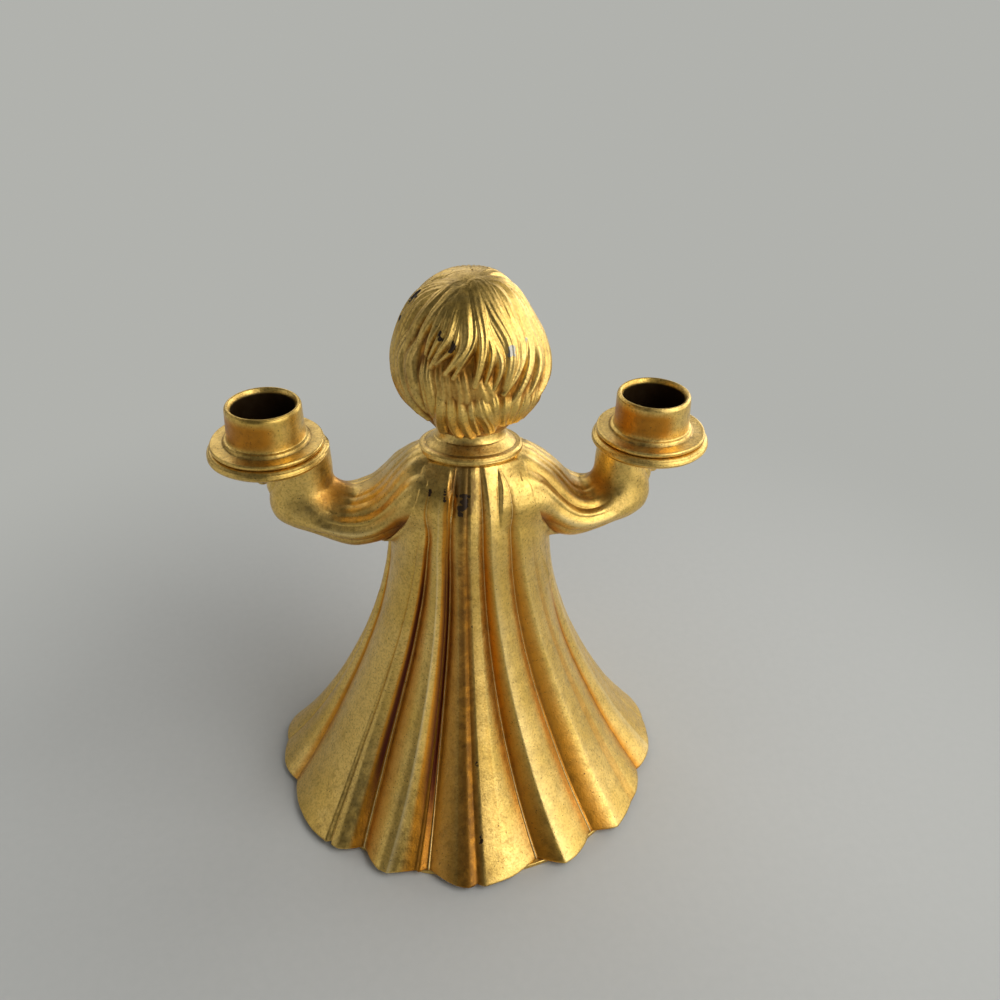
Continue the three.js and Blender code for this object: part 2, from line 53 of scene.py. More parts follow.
# Robe
PLATE_TOP = 1.6
ROBE_TOP = 128
HEM_RADIUS = 69
HEM_SIDE_RADIUS = 68
HEM_FRONT_RADIUS = 41
HEM_ROUND = 0.9
HEM_KICK = 2.2  # the last of the flare, just over the hem
HEM_KICK_HEIGHT = 22
CHEST_HEIGHT = 100
CHEST_RADIUS = 26.9
YOKE_RADIUS = 16
YOKE_ROUND = 2.2
SKIRT_FLARE = 1.83
WALL = 2.2
INNER_STEP = 6  # the inside of a wall has every sixth row and column only
FOLD_FADE = 0.6
FOLD_WAIST = 55
FOLD_CHEST = 105
COLUMN_STEP = 0.55
ROBE_ROWS = 170
PLATE_LIP = 1.3
NECKLINE_TILT = 0.15  # rise of the neckline towards the back
NECKLINE_FOOT = 104
COLLAR_GROOVE = 14.5  # radius of the line between the rolled collar and the neck

# A pleat line: its angle at the hem, at the waist and at the chest, its depth at the hem, how round its crest
# is on either side, and the height at which it runs out
Fold = namedtuple("Fold", "hem waist chest depth rise fall top", defaults=(1.0, 1.0, 131))
FOLDS = [
    Fold(0, 0, 0, 0.8),
    Fold(8.5, 3, 3, -0.3, 2.0, 2.0),
    Fold(17.9, 7, 6, 2.6, top=100),
    Fold(37, 31.5, 40, -1.6, 2.0, 1.5, 112),
    Fold(42.9, 37.4, 46.8, -1.2, top=112),
    Fold(43.9, 38.4, 48, 0.4, top=112),
    Fold(44.8, 39.2, 48.9, -0.8, top=112),
    Fold(46.8, 41, 50.4, -0.6, 1.0, 1.3, 120),
    Fold(53, 47, 54.2, 5.4, top=125),
    Fold(60.3, 60.6, 60.2, 0.1, 1.25, 1.0, 127),
    Fold(62.9, 63.5, 62.8, 0.0, top=130),
    Fold(70.3, 69.2, 68.6, 4.3),
    Fold(71.3, 70, 69.3, 3.8),
    Fold(74, 71.6, 71, 5.8),
    Fold(83.1, 80.6, 77.3, 0.2, 1.2, 1.0),
    Fold(86, 83.5, 80.3, -0.3, 1.5, 1.6),
    Fold(88.2, 86, 83.2, 1.1),
    Fold(90.2, 88.6, 85.8, 0.0, 1.2, 1.0),
    Fold(96.5, 94.4, 90.2, 1.7, 1.0, 1.2),
    Fold(107, 101, 95.3, 6.9),
    Fold(114, 107.7, 100.3, 0.6, 1.15, 1.8, 129),
    Fold(126.8, 125.2, 117.2, 6.0, top=127),
    Fold(133.7, 135.2, 122.8, 0.0, 1.15, 1.5, 116),
    Fold(144, 146, 134, 1.4, top=108),
    Fold(147.5, 150, 138, 1.3, 1.6, 1.6, 104),
    Fold(157, 162, 150, 3.8, top=84),
    Fold(168.5, 171, 168, 0.2, 2.0, 2.0),
    Fold(180, 180, 180, 0.8),
]
BACK_MIDDLE = 86
PANEL_HALF_ANGLE = 3.5  # the panel down the middle of the back, with its amber stain and its dirt, laid on darker as painted shade for the dark reflection it shows
BACK_STAIN_AND_SHADE = 0.95
BACK_GRIME_AND_SHADE = 0.85
SMUDGE = 1.2  # dirt under the collar and round the slot below it
SMUDGE_MIDDLE = 82
SMUDGE_HALF_ANGLE = 13
SLOT_HEIGHT = 120
BEAD_DEPTH = 4.5  # pleats deeper than this have a fine bead along the bottom
BEAD_RISE = 0.4
BEAD_HALF_ANGLE = 0.32
STEEP = 0.46  # fall over width from which a pleat's face counts as steep
STEEPER = 0.56

# Arms and cups
# A hand: its side, its reach, the height of the sleeve's upper line half way to the crook of the arm, the
# distances of that crook and of the wrist's inner side from the figure's axis, and a seed
Hand = namedtuple("Hand", "word side reach slope crook inner seed")
LEFT = Hand("left", side=1, reach=64.4, slope=118.2, crook=37.8, inner=44.6, seed=41)
RIGHT = Hand("right", side=-1, reach=60, slope=120.2, crook=38.4, inner=42.5, seed=53)
HAND_FORWARD = 6
HAND_VOXEL = 0.42
FINGER_RADIUS = 2.35
THUMB_RADIUS = 2.5
SHOULDER_HALF_DEPTH = 16.8
CUFF_HALF_DEPTH = 9.5
SLEEVE_SQUARENESS = 2.1
CROOK_PINCH = 0.5  # the inside of the elbow is narrower than the rest
CROOK_SHARE = 0.62
SLEEVE_ROWS = 130
SLEEVE_STEP = 1.8
ARMPIT_HEIGHT = 106
SHOULDER_ROUND = 13.0  # how widely robe and sleeve melt together, at the shoulder and in the armpit
ARMPIT_ROUND = 1.5
PLEAT_CLEAR = 7.0  # pleats run out this near to a sleeve
ARMPIT_SHADE = 4.2  # how far the painted shade reaches out of the armpit
SLEEVE_TWIST = 17  # the folds wind from the top of the shoulder to the outside of the elbow
SLEEVE_FOLDS = [Fold(angle, angle, angle, depth, crest, crest) for angle, depth, crest in (
    (0, 0.1, 2.0), (8, 0.8, 1.0), (15, 0.05, 1.4), (23, 0.6, 1.0), (31, 0.0, 1.4), (48, 1.6, 1.0),
    (60, 0.2, 1.4), (68, 0.7, 1.0), (84, 0.0, 1.4), (106, 1.4, 1.0), (140, 0.4, 2.0), (180, 0.5, 1.0),
)]
PAN_FOOT = 124.4
PAN_TOP = 128.0
PAN_RADIUS = 19.2
FLANGE_FOOT = 128.3
FLANGE_TOP = 130.2
FLANGE_RADIUS = 18
CUP_RADIUS = 12.1
BORE_RADIUS = 10
SOCKET_FLOOR = 126.6
RIM = 142.7
CUP_DARK_SIDE = 48  # where the painted shade on the cups' walls is darkest; the opposite side is painted paler as a highlight
SCREW_LENGTH = 7
SCREW_RADIUS = 1.4
SCREW_HEAD_RADIUS = 3.2
SCREW_HEAD_RISE = 1.9
SCREW_SLOT = 0.8
SCREW_SLOT_DEPTH = 0.85
LATHE_STEPS = 144

# Head
HEAD_WIDEST = 157.5
HEAD_TOP = 187
HEAD_HALF_WIDTH = 24.5
HEAD_BACK_DEPTH = 25
HEAD_FACE_DEPTH = 23.5
HEAD_FOOT_SIZE = 13
CHIN_SIZE = 15.6
JAW_ROUND = 2.4
RIGHT_FLATTENING = 0.11  # the right of the head is a little flatter, over the ear
RIGHT_FLAT_HEIGHT = 174
NAPE = 139
CHIN = 141.3
SKULL_TOP = HEAD_TOP - 1.9
HEAD_CENTRE = np.array([0, 0, 158.0])
HAIR_INSET = 2.0
HAIR_DEPTH = 1.35
CROWN_RISE = 1.7
HEAD_COLUMNS = 270
CROWN_ROWS = 150
CHEEK_ROWS = 100

# A lock of hair: the (angle, height) pairs that it passes, from root to tip, its half width and its rise, and
# the shares of both that are lost towards the tip
Lock = namedtuple("Lock", "path width rise narrowing sinking", defaults=(0.65, 0.45))
LOCKS = [
    Lock(((40, 183), (30, 178), (26, 172), (24, 166)), 2.2, 1.2),
    Lock(((48, 184), (36, 181), (30, 176), (29, 170)), 2.0, 1.3),
    Lock(((60, 183), (49, 180), (42, 175), (37, 169)), 2.2, 1.5),
    Lock(((65, 182), (56, 179), (52, 174), (48, 168)), 1.9, 1.6),
    Lock(((68, 182), (62, 179), (60, 174), (52, 167)), 1.9, 1.6),
    Lock(((71, 182), (69, 178), (66, 173), (54, 165)), 2.1, 1.7),
    Lock(((74, 182), (75, 177), (71, 171), (58, 166)), 1.7, 1.4),
    Lock(((72, 183), (81, 177), (80, 171), (66, 164)), 2.9, 1.9),
    Lock(((80, 183), (87, 178), (86, 172), (72, 163)), 2.0, 1.6),
    Lock(((88, 184), (94, 179), (95, 171), (88, 161)), 2.8, 1.9),
    Lock(((95, 182), (99, 176), (103, 170), (96, 162)), 2.2, 1.7),
    Lock(((98, 180), (104, 174), (109, 167), (102, 160)), 2.2, 1.5),
    Lock(((103, 184), (114, 178), (121, 170), (112, 160)), 4.6, 1.9),
    Lock(((132, 183), (134, 176), (131, 168), (109, 158)), 2.6, 1.7),
    Lock(((150, 183), (147, 175), (140, 167), (116, 154)), 2.9, 1.6),
    Lock(((158, 181), (155, 172), (150, 164), (128, 153)), 3.0, 1.6),
    Lock(((170, 180), (170, 170), (166, 161), (144, 150)), 3.4, 1.5),
    Lock(((10, 180), (8, 170), (10, 160), (30, 147)), 4.6, 1.6),
    Lock(((24, 174), (18, 165), (24, 157), (42, 146)), 3.6, 1.5),
    Lock(((38, 173), (33, 165), (38, 158), (47, 150)), 3.4, 1.3),
    Lock(((48, 167), (50, 162), (53, 156), (55, 146)), 3.0, 1.2),
    Lock(((62, 166), (63, 162), (64, 158), (62, 154)), 4.4, 0.55),
    Lock(((78, 165), (79, 162), (80, 158), (79, 155)), 4.4, 0.5),
    Lock(((94, 164), (95, 161), (97, 158), (98, 155)), 4.0, 0.6),
    Lock(((62, 160), (62, 153), (58, 147), (53, 141)), 2.4, 1.6, 0.4, 0.5),
    Lock(((70, 158), (70, 152), (70, 146), (73, 140.5)), 2.0, 1.6, 0.4, 0.5),
    Lock(((77, 157), (79, 151), (82, 145), (88, 140.5)), 2.1, 1.7, 0.35, 0.5),
    Lock(((85, 157), (86, 152), (89, 147), (94, 142)), 1.6, 1.5, 0.4, 0.5),
    Lock(((92, 158), (95, 153), (101, 148), (107, 142.5)), 3.2, 1.8, 0.35, 0.5),
    Lock(((102, 159), (103, 155), (105, 150), (110, 145)), 1.9, 1.4, 0.4, 0.6),
    Lock(((113, 157), (112, 153), (113, 149), (117, 145)), 2.3, 1.4, 0.4, 0.6),
    Lock(((127, 157), (122, 153), (120, 149), (122, 145)), 2.5, 1.3, 0.4, 0.6),
    Lock(((136, 158), (132, 153), (129, 149), (130, 144)), 2.6, 1.4, 0.4, 0.6),
    Lock(((147, 156), (141, 152), (137, 148), (139, 144)), 2.5, 1.3, 0.4, 0.6),
    Lock(((158, 155), (151, 151), (147, 147), (149, 144)), 2.8, 1.2, 0.4, 0.6),
    Lock(((176, 178), (176, 168), (174, 158), (166, 146)), 3.6, 1.5),
    Lock(((183, 177), (182, 165), (180, 155), (176, 145)), 3.6, 1.4),
    Lock(((6, 174), (6, 164), (11, 155), (19, 145)), 3.6, 1.4),
    Lock(((358, 176), (358, 165), (0, 155), (6, 145)), 3.6, 1.4),
]
WHORL = np.array([1.7, 8.2, 184.4])  # where the hair parts, behind the top of the head
WHORL_LOCKS = 177  # locks that start above this height come out of the whorl
CROWN_SMOOTH = 5
CROWN_END = 15
FRINGE = 168.5
FRINGE_LOCKS = 13
FRINGE_START = 202
FRINGE_SPAN = 136
SIDE_LOCKS = 4
SKIN_RISE = 0.5
SIDE_LOCK_FOOT = 148
EYE_X = 8.0
EYE_Z = 159.8
EYE_HALF_WIDTH = 4.4
NOSE_Z = 152.6
MOUTH_Z = 147.9
MOUTH_HALF_WIDTH = 5.4

# A rounded feature of the face: its distance from the middle, its height, its half width, its half height and
# its rise
Mound = namedtuple("Mound", "x z wide tall rise")
MOUNDS = [
    Mound(10.5, 151.5, 5, 4.2, 1.0),  # cheeks
    Mound(0, 143.6, 4.8, 2.6, 1.9),  # chin
    Mound(0, 166.5, 9, 4, 0.7),  # forehead
    Mound(2.3, NOSE_Z - 0.5, 0.9, 1.0, 0.95),  # wings of the nose
    Mound(1.3, NOSE_Z - 1.8, 0.5, 0.4, -0.5),  # nostrils
    Mound(0, MOUTH_Z + 2.6, 0.7, 1.0, -0.25),  # groove over the lips
    Mound(MOUTH_HALF_WIDTH, MOUTH_Z + 0.8, 0.8, 0.8, -0.3),  # corners of the mouth
    Mound(0, MOUTH_Z - 2.7, 3.2, 0.7, -0.4),  # hollow under the lips
]

# Camera, as fitted to the photograph
PHOTO_PITCH = math.radians(32.9)
PHOTO_ROLL = math.radians(1.54)
PHOTO_YAW = math.radians(6.69)
PHOTO_DISTANCE = 330.7
PHOTO_AIM = Vector((-9.83, 1.15, 108.2))
PHOTO_LENS = 36
PHOTO_SENSOR = 36


# Shape helpers

def spline(knots, shares):
    """Points on a smooth line through the knots, at shares of it from 0 to 1."""
    knots = np.array(knots, float)
    last = len(knots) - 1
    place = np.clip(np.asarray(shares, float), 0, 1) * last
    k = np.minimum(place.astype(int), last - 1)
    w = (place - k)[:, None]
    p0, p1 = knots[np.maximum(k - 1, 0)], knots[k]
    p2, p3 = knots[k + 1], knots[np.minimum(k + 2, last)]
    bend = 2 * p0 - 5 * p1 + 4 * p2 - p3
    twist = 3 * p1 - p0 - 3 * p2 + p3
    return 0.5 * (2 * p1 + (p2 - p0) * w + bend * w**2 + twist * w**3)


def wobble(points, size, seed):
    """Smooth seeded unevenness, about -1 to 1, over a size in millimetres."""
    dice = np.random.default_rng(seed)
    total = np.zeros(points.shape[:-1])
    for _ in range(8):
        way = dice.normal(size=3)
        way *= 2 * math.pi / (np.linalg.norm(way) * size * dice.uniform(0.7, 1.5))
        total += np.sin(points @ way + dice.uniform(0, 2 * math.pi))
    return total / 4


def ease(value, low, high):
    """0 below low, 1 above high, smooth between."""
    share = np.clip((value - low) / (high - low), 0, 1)
    return share * share * (3 - 2 * share)


def bump(distance, size):
    return np.exp(-0.5 * (distance / size) ** 2)


def polar(radius, angle, z):
    """Points at these radii, angles and heights."""
    return np.stack([radius * np.cos(angle), radius * np.sin(angle), z + 0 * angle], -1)


def full_turn(steps):
    return np.linspace(0, 2 * math.pi, steps, endpoint=False)


def unit(vectors):
    return vectors / np.linalg.norm(vectors, axis=-1)[..., None]


def length_of(line):
    return np.linalg.norm(np.diff(line, axis=0), axis=1).sum()


def tilt_neckline(points):
    """Lifts the yoke and the collar towards the back, and leaves the head and the chest as they are."""
    z = points[..., 2]
    share = ease(z, NECKLINE_FOOT, ROBE_TOP) * (1 - ease(z, ROBE_TOP + 4, NAPE))
    points[..., 2] = z + NECKLINE_TILT * points[..., 1] * share


class Shape:
    """Points in millimetres with their faces, and the marks that the materials read."""

    def __init__(self):
        self.points, self.faces, self.dirt, self.bare, self.amber = [], [], [], [], []
        self.count = 0

    def add(self, points, dirt=0.0, bare=0.0, amber=0.0):
        points = np.asarray(points, float)
        shape = points.shape[:-1]
        flat = points.reshape(-1, 3)
        self.points.append(flat)
        self.dirt.append(np.broadcast_to(dirt, shape).reshape(-1))
        self.bare.append(np.broadcast_to(bare, shape).reshape(-1))
        self.amber.append(np.broadcast_to(amber, shape).reshape(-1))
        index = np.arange(self.count, self.count + len(flat)).reshape(shape)
        self.count += len(flat)
        return index

    def weave(self, index, around=False, along=False):
        """Faces between the rows and columns of an index grid."""
        if around:
            index = np.hstack([index, index[:, :1]])
        if along:
            index = np.vstack([index, index[:1]])
        quads = np.stack([index[:-1, :-1], index[:-1, 1:], index[1:, 1:], index[1:, :-1]], -1)
        self.faces.extend(quads.reshape(-1, 4).tolist())

    def cap(self, ring, centre):
        middle = int(self.add([centre])[0])
        ring = [int(k) for k in ring]
        self.faces.extend([a, b, middle] for a, b in zip(ring, ring[1:] + ring[:1]))

    def barrel(self, rings, first, last, **marks):
        """Closed rings in a row, with a point in the middle of the first and of the last one."""
        index = self.add(rings, **marks)
        self.weave(index, around=True)
        self.cap(index[0], first)
        self.cap(index[-1], last)

    def shell(self, points, inner, dirt, amber):
        """An open grid of points, closed with a coarser bare one inside on the same rows and columns."""
        index = self.add(points, dirt=dirt, amber=amber)
        self.weave(index)
        all_rows, all_cols = np.arange(index.shape[0]), np.arange(index.shape[1])
        rows = np.unique(np.append(all_rows[::INNER_STEP], all_rows[-1]))
        cols = np.unique(np.append(all_cols[::INNER_STEP], all_cols[-1]))
        inside = self.add(inner[np.ix_(rows, cols)], bare=1.0)
        self.weave(inside)
        self.zip_edges(edge_loop(index, all_rows, all_cols), edge_loop(inside, rows, cols))

    def zip_edges(self, one, other):
        """Triangles between two borders, in the order of their places."""
        i = j = 0
        while i < len(one) - 1 or j < len(other) - 1:
            step_one = i < len(one) - 1 and (j == len(other) - 1 or one[i + 1][0] <= other[j + 1][0])
            if step_one:
                self.faces.append([one[i][1], one[i + 1][1], other[j][1]])
                i += 1
            else:
                self.faces.append([one[i][1], other[j + 1][1], other[j][1]])
                j += 1

    def mesh(self, name):
        data = bpy.data.meshes.new(name)
        data.from_pydata((np.concatenate(self.points) * MM).tolist(), [], self.faces)
        for mark in ("dirt", "bare", "amber"):
            values = np.concatenate(getattr(self, mark)).astype(np.float32)
            data.attributes.new(mark, "FLOAT", "POINT").data.foreach_set("value", values)
        work = bmesh.new()
        work.from_mesh(data)
        bmesh.ops.recalc_face_normals(work, faces=work.faces)
        work.to_mesh(data)
        work.free()
        data.shade_smooth()
        return data


def edge_loop(index, rows, cols):
    """The border of a grid as (place, point) pairs, the place counting from 0 to 4 round its sides."""
    across = (cols - cols[0]) / (cols[-1] - cols[0])
    along = (rows - rows[0]) / (rows[-1] - rows[0])
    loop = list(zip(across, index[0]))
    loop += list(zip(1 + along[1:], index[1:, -1]))
    loop += list(zip(3 - across[::-1][1:], index[-1, ::-1][1:]))
    loop += list(zip(4 - along[::-1][1:], index[::-1, 0][1:]))
    return [(float(place), int(point)) for place, point in loop]


def placed(name, data):
    thing = bpy.data.objects.new(name, data)
    bpy.context.scene.collection.objects.link(thing)
    return thing


def piece(name, shape, node, material):
    thing = placed(name, shape.mesh(name))
    thing.data.materials.append(material)
    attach(thing, "root")
    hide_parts(node)


def rounded(corners, steps=4):
    """A closed outline whose corners (radius, height, cut) are rounded over their cut."""
    line = []
    for k, (r, z, cut) in enumerate(corners):
        corner = np.array([r, z], float)
        before = np.array(corners[k - 1][:2], float) - corner
        after = np.array(corners[(k + 1) % len(corners)][:2], float) - corner
        if cut == 0:
            line.append(corner)
            continue
        start = corner + before * min(0.5, cut / np.linalg.norm(before))
        end = corner + after * min(0.5, cut / np.linalg.norm(after))
        for w in np.linspace(0, 1, steps + 1):
            line.append(start * (1 - w) ** 2 + 2 * corner * w * (1 - w) + end * w**2)
    return np.array(line)


def lathe(outline, centre, seed, uneven, dirt=None, bare=None, amber=None, tilted=False):
    """A closed outline turned round an upright axis, slightly uneven as a moulding is."""
    turn = full_turn(LATHE_STEPS)
    r, z = outline[:, :1], outline[:, 1:]
    points = polar(r, turn, z)
    grown = 1 + uneven * wobble(points, 14, seed)[..., None] / np.maximum(r, 4)[..., None]
    points[..., :2] *= grown
    points += centre
    if tilted:
        tilt_neckline(points)
    marks = [0.0 if mark is None else mark(r, z, turn) * np.ones_like(turn) for mark in (dirt, bare, amber)]
    shape = Shape()
    shape.weave(shape.add(points, *marks), around=True, along=True)
    return shape


# Robe

def pleat_columns(folds, step):
    """For every column across the folds: the fold before it, the share of the way to the next, its depth."""
    before, share, depth = [], [], []
    for k, (a, b) in enumerate(zip(folds, folds[1:])):
        count = max(4, round((b.hem - a.hem) / step))
        t = np.linspace(0, 1, count, endpoint=False)
        if b.depth > a.depth:
            sink = a.depth + (b.depth - a.depth) * t**a.fall
        else:
            sink = b.depth + (a.depth - b.depth) * (1 - t) ** b.rise
        before += [k] * len(t)
        share += list(t)
        depth += list(sink)
    before.append(len(folds) - 2)
    share.append(1.0)
    depth.append(folds[-1].depth)
    return np.array(before), np.array(share), np.array(depth)


def beaded(folds):
    """The folds with a fine bead along the bottom of each deep pleat."""
    line = []
    for fold in folds:
        if fold.depth < BEAD_DEPTH:
            line.append(fold)
            continue
        for turn, lift in ((-BEAD_HALF_ANGLE, 0), (0, BEAD_RISE), (BEAD_HALF_ANGLE, 0)):
            angles = {key: getattr(fold, key) + turn for key in ("hem", "waist", "chest")}
            line.append(fold._replace(depth=fold.depth - lift, **angles))
    return line


def steepness(folds):
    """How steep the face after each fold is, from 0 to 1."""
    fall = np.array([abs(b.depth - a.depth) for a, b in zip(folds, folds[1:])])
    width = np.array([math.radians(b.hem - a.hem) * HEM_RADIUS for a, b in zip(folds, folds[1:])])
    return ease(fall / width, STEEP, STEEPER)


def robe_ridge(angle, z):
    """Radius of the robe over its pleats."""
    deep = np.where(np.sin(angle) > 0, HEM_RADIUS, HEM_FRONT_RADIUS)
    hem = 1 / np.hypot(np.cos(angle) / HEM_SIDE_RADIUS, np.sin(angle) / deep)
    below = np.clip(CHEST_HEIGHT - z, 0, None) / (CHEST_HEIGHT - PLATE_TOP)
    above = np.clip(z - CHEST_HEIGHT, 0, None) / (ROBE_TOP - CHEST_HEIGHT)
    kick = HEM_KICK * np.clip(1 - (z - PLATE_TOP) / HEM_KICK_HEIGHT, 0, 1) ** 2
    skirt = CHEST_RADIUS + (hem - CHEST_RADIUS) * below**SKIRT_FLARE + kick
    yoke = YOKE_RADIUS + (CHEST_RADIUS - YOKE_RADIUS) * (1 - above**YOKE_ROUND)
    return np.where(z < CHEST_HEIGHT, skirt, yoke)


def fold_strength(folds, before, share, z):
    """How much of a pleat's depth is left at the heights z, for every column."""
    top = np.array([fold.top for fold in folds])
    top = top[before] * (1 - share) + top[before + 1] * share
    return (np.clip(top - z, 0, None) / (top - PLATE_TOP)) ** FOLD_FADE


def fold_angles(folds, before, share, z):
    """Angle of every column at the heights z, on a bow through the folds' angles at hem, waist and chest."""
    z = np.minimum(z, FOLD_CHEST)
    hem, waist, chest = np.array([(fold.hem, fold.waist, fold.chest) for fold in folds]).T
    at_hem = (FOLD_WAIST - z) * (FOLD_CHEST - z) / (FOLD_WAIST * FOLD_CHEST)
    at_waist = z * (FOLD_CHEST - z) / (FOLD_WAIST * (FOLD_CHEST - FOLD_WAIST))
    at_chest = z * (z - FOLD_WAIST) / (FOLD_CHEST * (FOLD_CHEST - FOLD_WAIST))
    line = lambda k: hem[k] * at_hem + waist[k] * at_waist + chest[k] * at_chest
    return np.radians(line(before) * (1 - share) + line(before + 1) * share)


def robe_marks(folds, columns, strength, z, facing):
    """Dirt and amber lacquer of the robe, with painted shade in the valleys and painted highlights on crests
    and beads, for every column and height.
    """
    before, share, depth = columns
    pairs = list(zip(folds, folds[1:]))
    deepest = np.array([max(a.depth, b.depth, 1) for a, b in pairs])[before]
    falling = np.array([b.depth > a.depth for a, b in pairs])[before]
    sunk = np.clip(depth / deepest, 0, 1)
    deep = np.clip(deepest / 4, 0, 1)
    hem = np.array([fold.hem for fold in folds])
    place = hem[before] + (hem[before + 1] - hem[before]) * share
    left = place < BACK_MIDDLE
    kept = np.clip(2 * strength, 0, 1)
    bead = sum(bump(place - fold.hem, 0.5 * BEAD_HALF_ANGLE) for fold in FOLDS if fold.depth >= BEAD_DEPTH)
    # the back panel: stain and dirt, made darker as painted shade for the dark reflection that it shows
    panel = bump(place - BACK_MIDDLE, PANEL_HALF_ANGLE) * kept
    # painted shade at the bottom of the deep valleys, which also stands for dirt gathered there
    grime_and_shade = 0.5 * sunk**9 * deep * (1 - bead)
    if facing > 0:
        smudge = bump(place - SMUDGE_MIDDLE, SMUDGE_HALF_ANGLE) * ease(z, 115, 122)
        smudge = smudge + bump(place - BACK_MIDDLE, 5) * bump(z - SLOT_HEIGHT, 4)
        grime_and_shade = grime_and_shade + BACK_GRIME_AND_SHADE * panel + SMUDGE * smudge
    steep = steepness(folds)[before]
    # painted reflection: steep faces take an orange tone from the lit faces across the valley, over the amber
    # that pools in it
    orange_reflection = steep * (0.25 + 0.75 * np.sqrt(sunk)) + (1 - steep) * sunk**2.5
    # painted highlight along the crests and the fine beads, partly for rubbing of the crests
    rubbed_and_lit = 0.7 * (1 - sunk) ** 6 * ease(place, 50, 62) + 2 * bead
    # painted shade: a face takes more dark lacquer according to which way it turns from the lamps on the
    # right, and where a ridge hides it
    shaded = np.where(left == falling, 1.0, np.where(left, 0.8, 0.25))
    shaded = shaded * np.where(left & falling, ease(sunk, 0.2, 0.5), 1.0)
    # painted shade in maroon, deepest on the undercut faces of the left half
    maroon_shade = np.where(left & falling, ease(sunk, 0.3, 0.7), 0.35 * ease(sunk, 0.5, 0.95)) * (1 - bead)
    maroon_shade = maroon_shade * (0.35 + 0.65 * ease(z, 4, 30))
    lacquer_and_painted_light = deep * (shaded * orange_reflection + maroon_shade - rubbed_and_lit) * kept
    return grime_and_shade, lacquer_and_painted_light + BACK_STAIN_AND_SHADE * panel


def robe_half(node, facing, material, seed):
    folds = beaded(FOLDS)
    columns = pleat_columns(folds, COLUMN_STEP)
    before, share, depth = columns
    rows = np.linspace(0, 1, ROBE_ROWS) ** 0.9
    rounding = PLATE_TOP + HEM_ROUND * np.array([0, 0.08, 0.25, 0.5, 0.75])
    z = np.append(rounding, PLATE_TOP + HEM_ROUND + rows * (ROBE_TOP - PLATE_TOP - HEM_ROUND))[:, None]
    angle = facing * fold_angles(folds, before, share, z)
    strength = fold_strength(folds, before, share, z)
    ridge = robe_ridge(angle, z)
    by_sleeve = ease(sleeve_gap(polar(ridge, angle, z)), PLEAT_CLEAR, 1.0)
    sink = strength * depth * (1 - ease(z, ARMPIT_HEIGHT, ARMPIT_HEIGHT + 6) * by_sleeve)
    lift = np.clip(1 - (z - PLATE_TOP) / HEM_ROUND, 0, 1)
    radius = ridge - sink - HEM_ROUND * (1 - np.sqrt(1 - lift**2))
    flat = polar(radius, angle, z)
    plain = radius + 0.10 * wobble(flat, 22, seed) + 0.05 * wobble(flat, 7, seed + 1)
    radius = plain + melted(polar(plain, angle, z), polar(1.0, angle, 0.0), sleeve_gap)
    points = polar(radius, angle, z)
    points[..., 1] += facing * SEAM / 2
    inner = points.copy()
    inner[..., :2] *= ((plain - WALL) / radius)[..., None]
    inner[..., 2] = PLATE_TOP + (z - PLATE_TOP) * (ROBE_TOP - WALL - PLATE_TOP) / (ROBE_TOP - PLATE_TOP)
    tilt_neckline(points)
    tilt_neckline(inner)
    grime_and_shade, lacquer_and_painted_light = robe_marks(folds, columns, strength, z, facing)
    shape = Shape()
    shape.shell(points, inner, grime_and_shade, lacquer_and_painted_light)
    piece(node + "_look", shape, node, material)


def base_plate(material):
    """The plate under the hem, which shows a little in the valleys of the pleats."""
    before, share, _ = pleat_columns(FOLDS, 2 * COLUMN_STEP)
    shape = Shape()
    valley = max(fold.depth for fold in FOLDS)
    half = fold_angles(FOLDS, before, share, np.array([[0.0]]))[0]
    turn = np.concatenate([half, -half[::-1][1:-1]])
    outline = rounded([(1, 0, 0.0), (0, 0, 0.4), (0, PLATE_TOP, 0.4), (1, PLATE_TOP, 0.0)])[1:-1]
    edge = robe_ridge(turn, np.zeros_like(turn) + PLATE_TOP) - valley + PLATE_LIP
    rows = [(6, 0), *outline, (6, PLATE_TOP)]
    rings = np.array([polar(edge - inset, turn, z) for inset, z in rows])
    shape.barrel(rings, (0, 0, 0), (0, 0, PLATE_TOP))
    piece("base_plate_look", shape, "base_plate", material)


# Arms

def hand_spot(hand, z=0):
    """A place on the axis of the hand's cup."""
    return np.array([hand.side * hand.reach, -HAND_FORWARD, z])


def sleeve_lines(hand):
    """Upper and lower line of the sleeve and wrist, as (distance from the axis, height)."""
    crook, inner, reach = hand.crook, hand.inner, hand.reach
    upper = [
        (7.5, 128.4), (18, 129.1), ((18 + crook) / 2, hand.slope), (crook - 4.2, 113.9),
        (crook, 112.2), (inner - 0.8, 115.4), (inner, 120.8), (inner + 0.5, 127.4),
    ]
    sag = reach - 25
    lower = [
        (7.5, 98), (24.3, 98), (sag, 95.2), ((sag + reach) / 2, 98.4),
        (reach - 0.5, 103.4), (reach + 0.8, 112), (reach - 5, 126),
    ]
    return upper, lower


def sleeve_frame(hand, share):
    """Middle, half height and half depth of the sleeve's sections."""
    upper, lower = sleeve_lines(hand)
    top, foot = spline(upper, share), spline(lower, share)
    half_depth = SHOULDER_HALF_DEPTH + (CUFF_HALF_DEPTH - SHOULDER_HALF_DEPTH) * ease(share, 0.1, 0.85)
    return (top + foot) / 2, (top - foot) / 2, half_depth


def sleeve_forward(share):
    return HAND_FORWARD * ease(share, 0.1, 1.0)


def squared(value, pinch):
    return np.sign(value) * np.abs(value) ** (2 / (SLEEVE_SQUARENESS - pinch))


def robe_gap(points):
    """Rough distance from the sleeve's points to the robe over its pleats."""
    x, y, z = np.moveaxis(points, -1, 0)
    return np.hypot(x, y) - robe_ridge(np.arctan2(y, x), z)


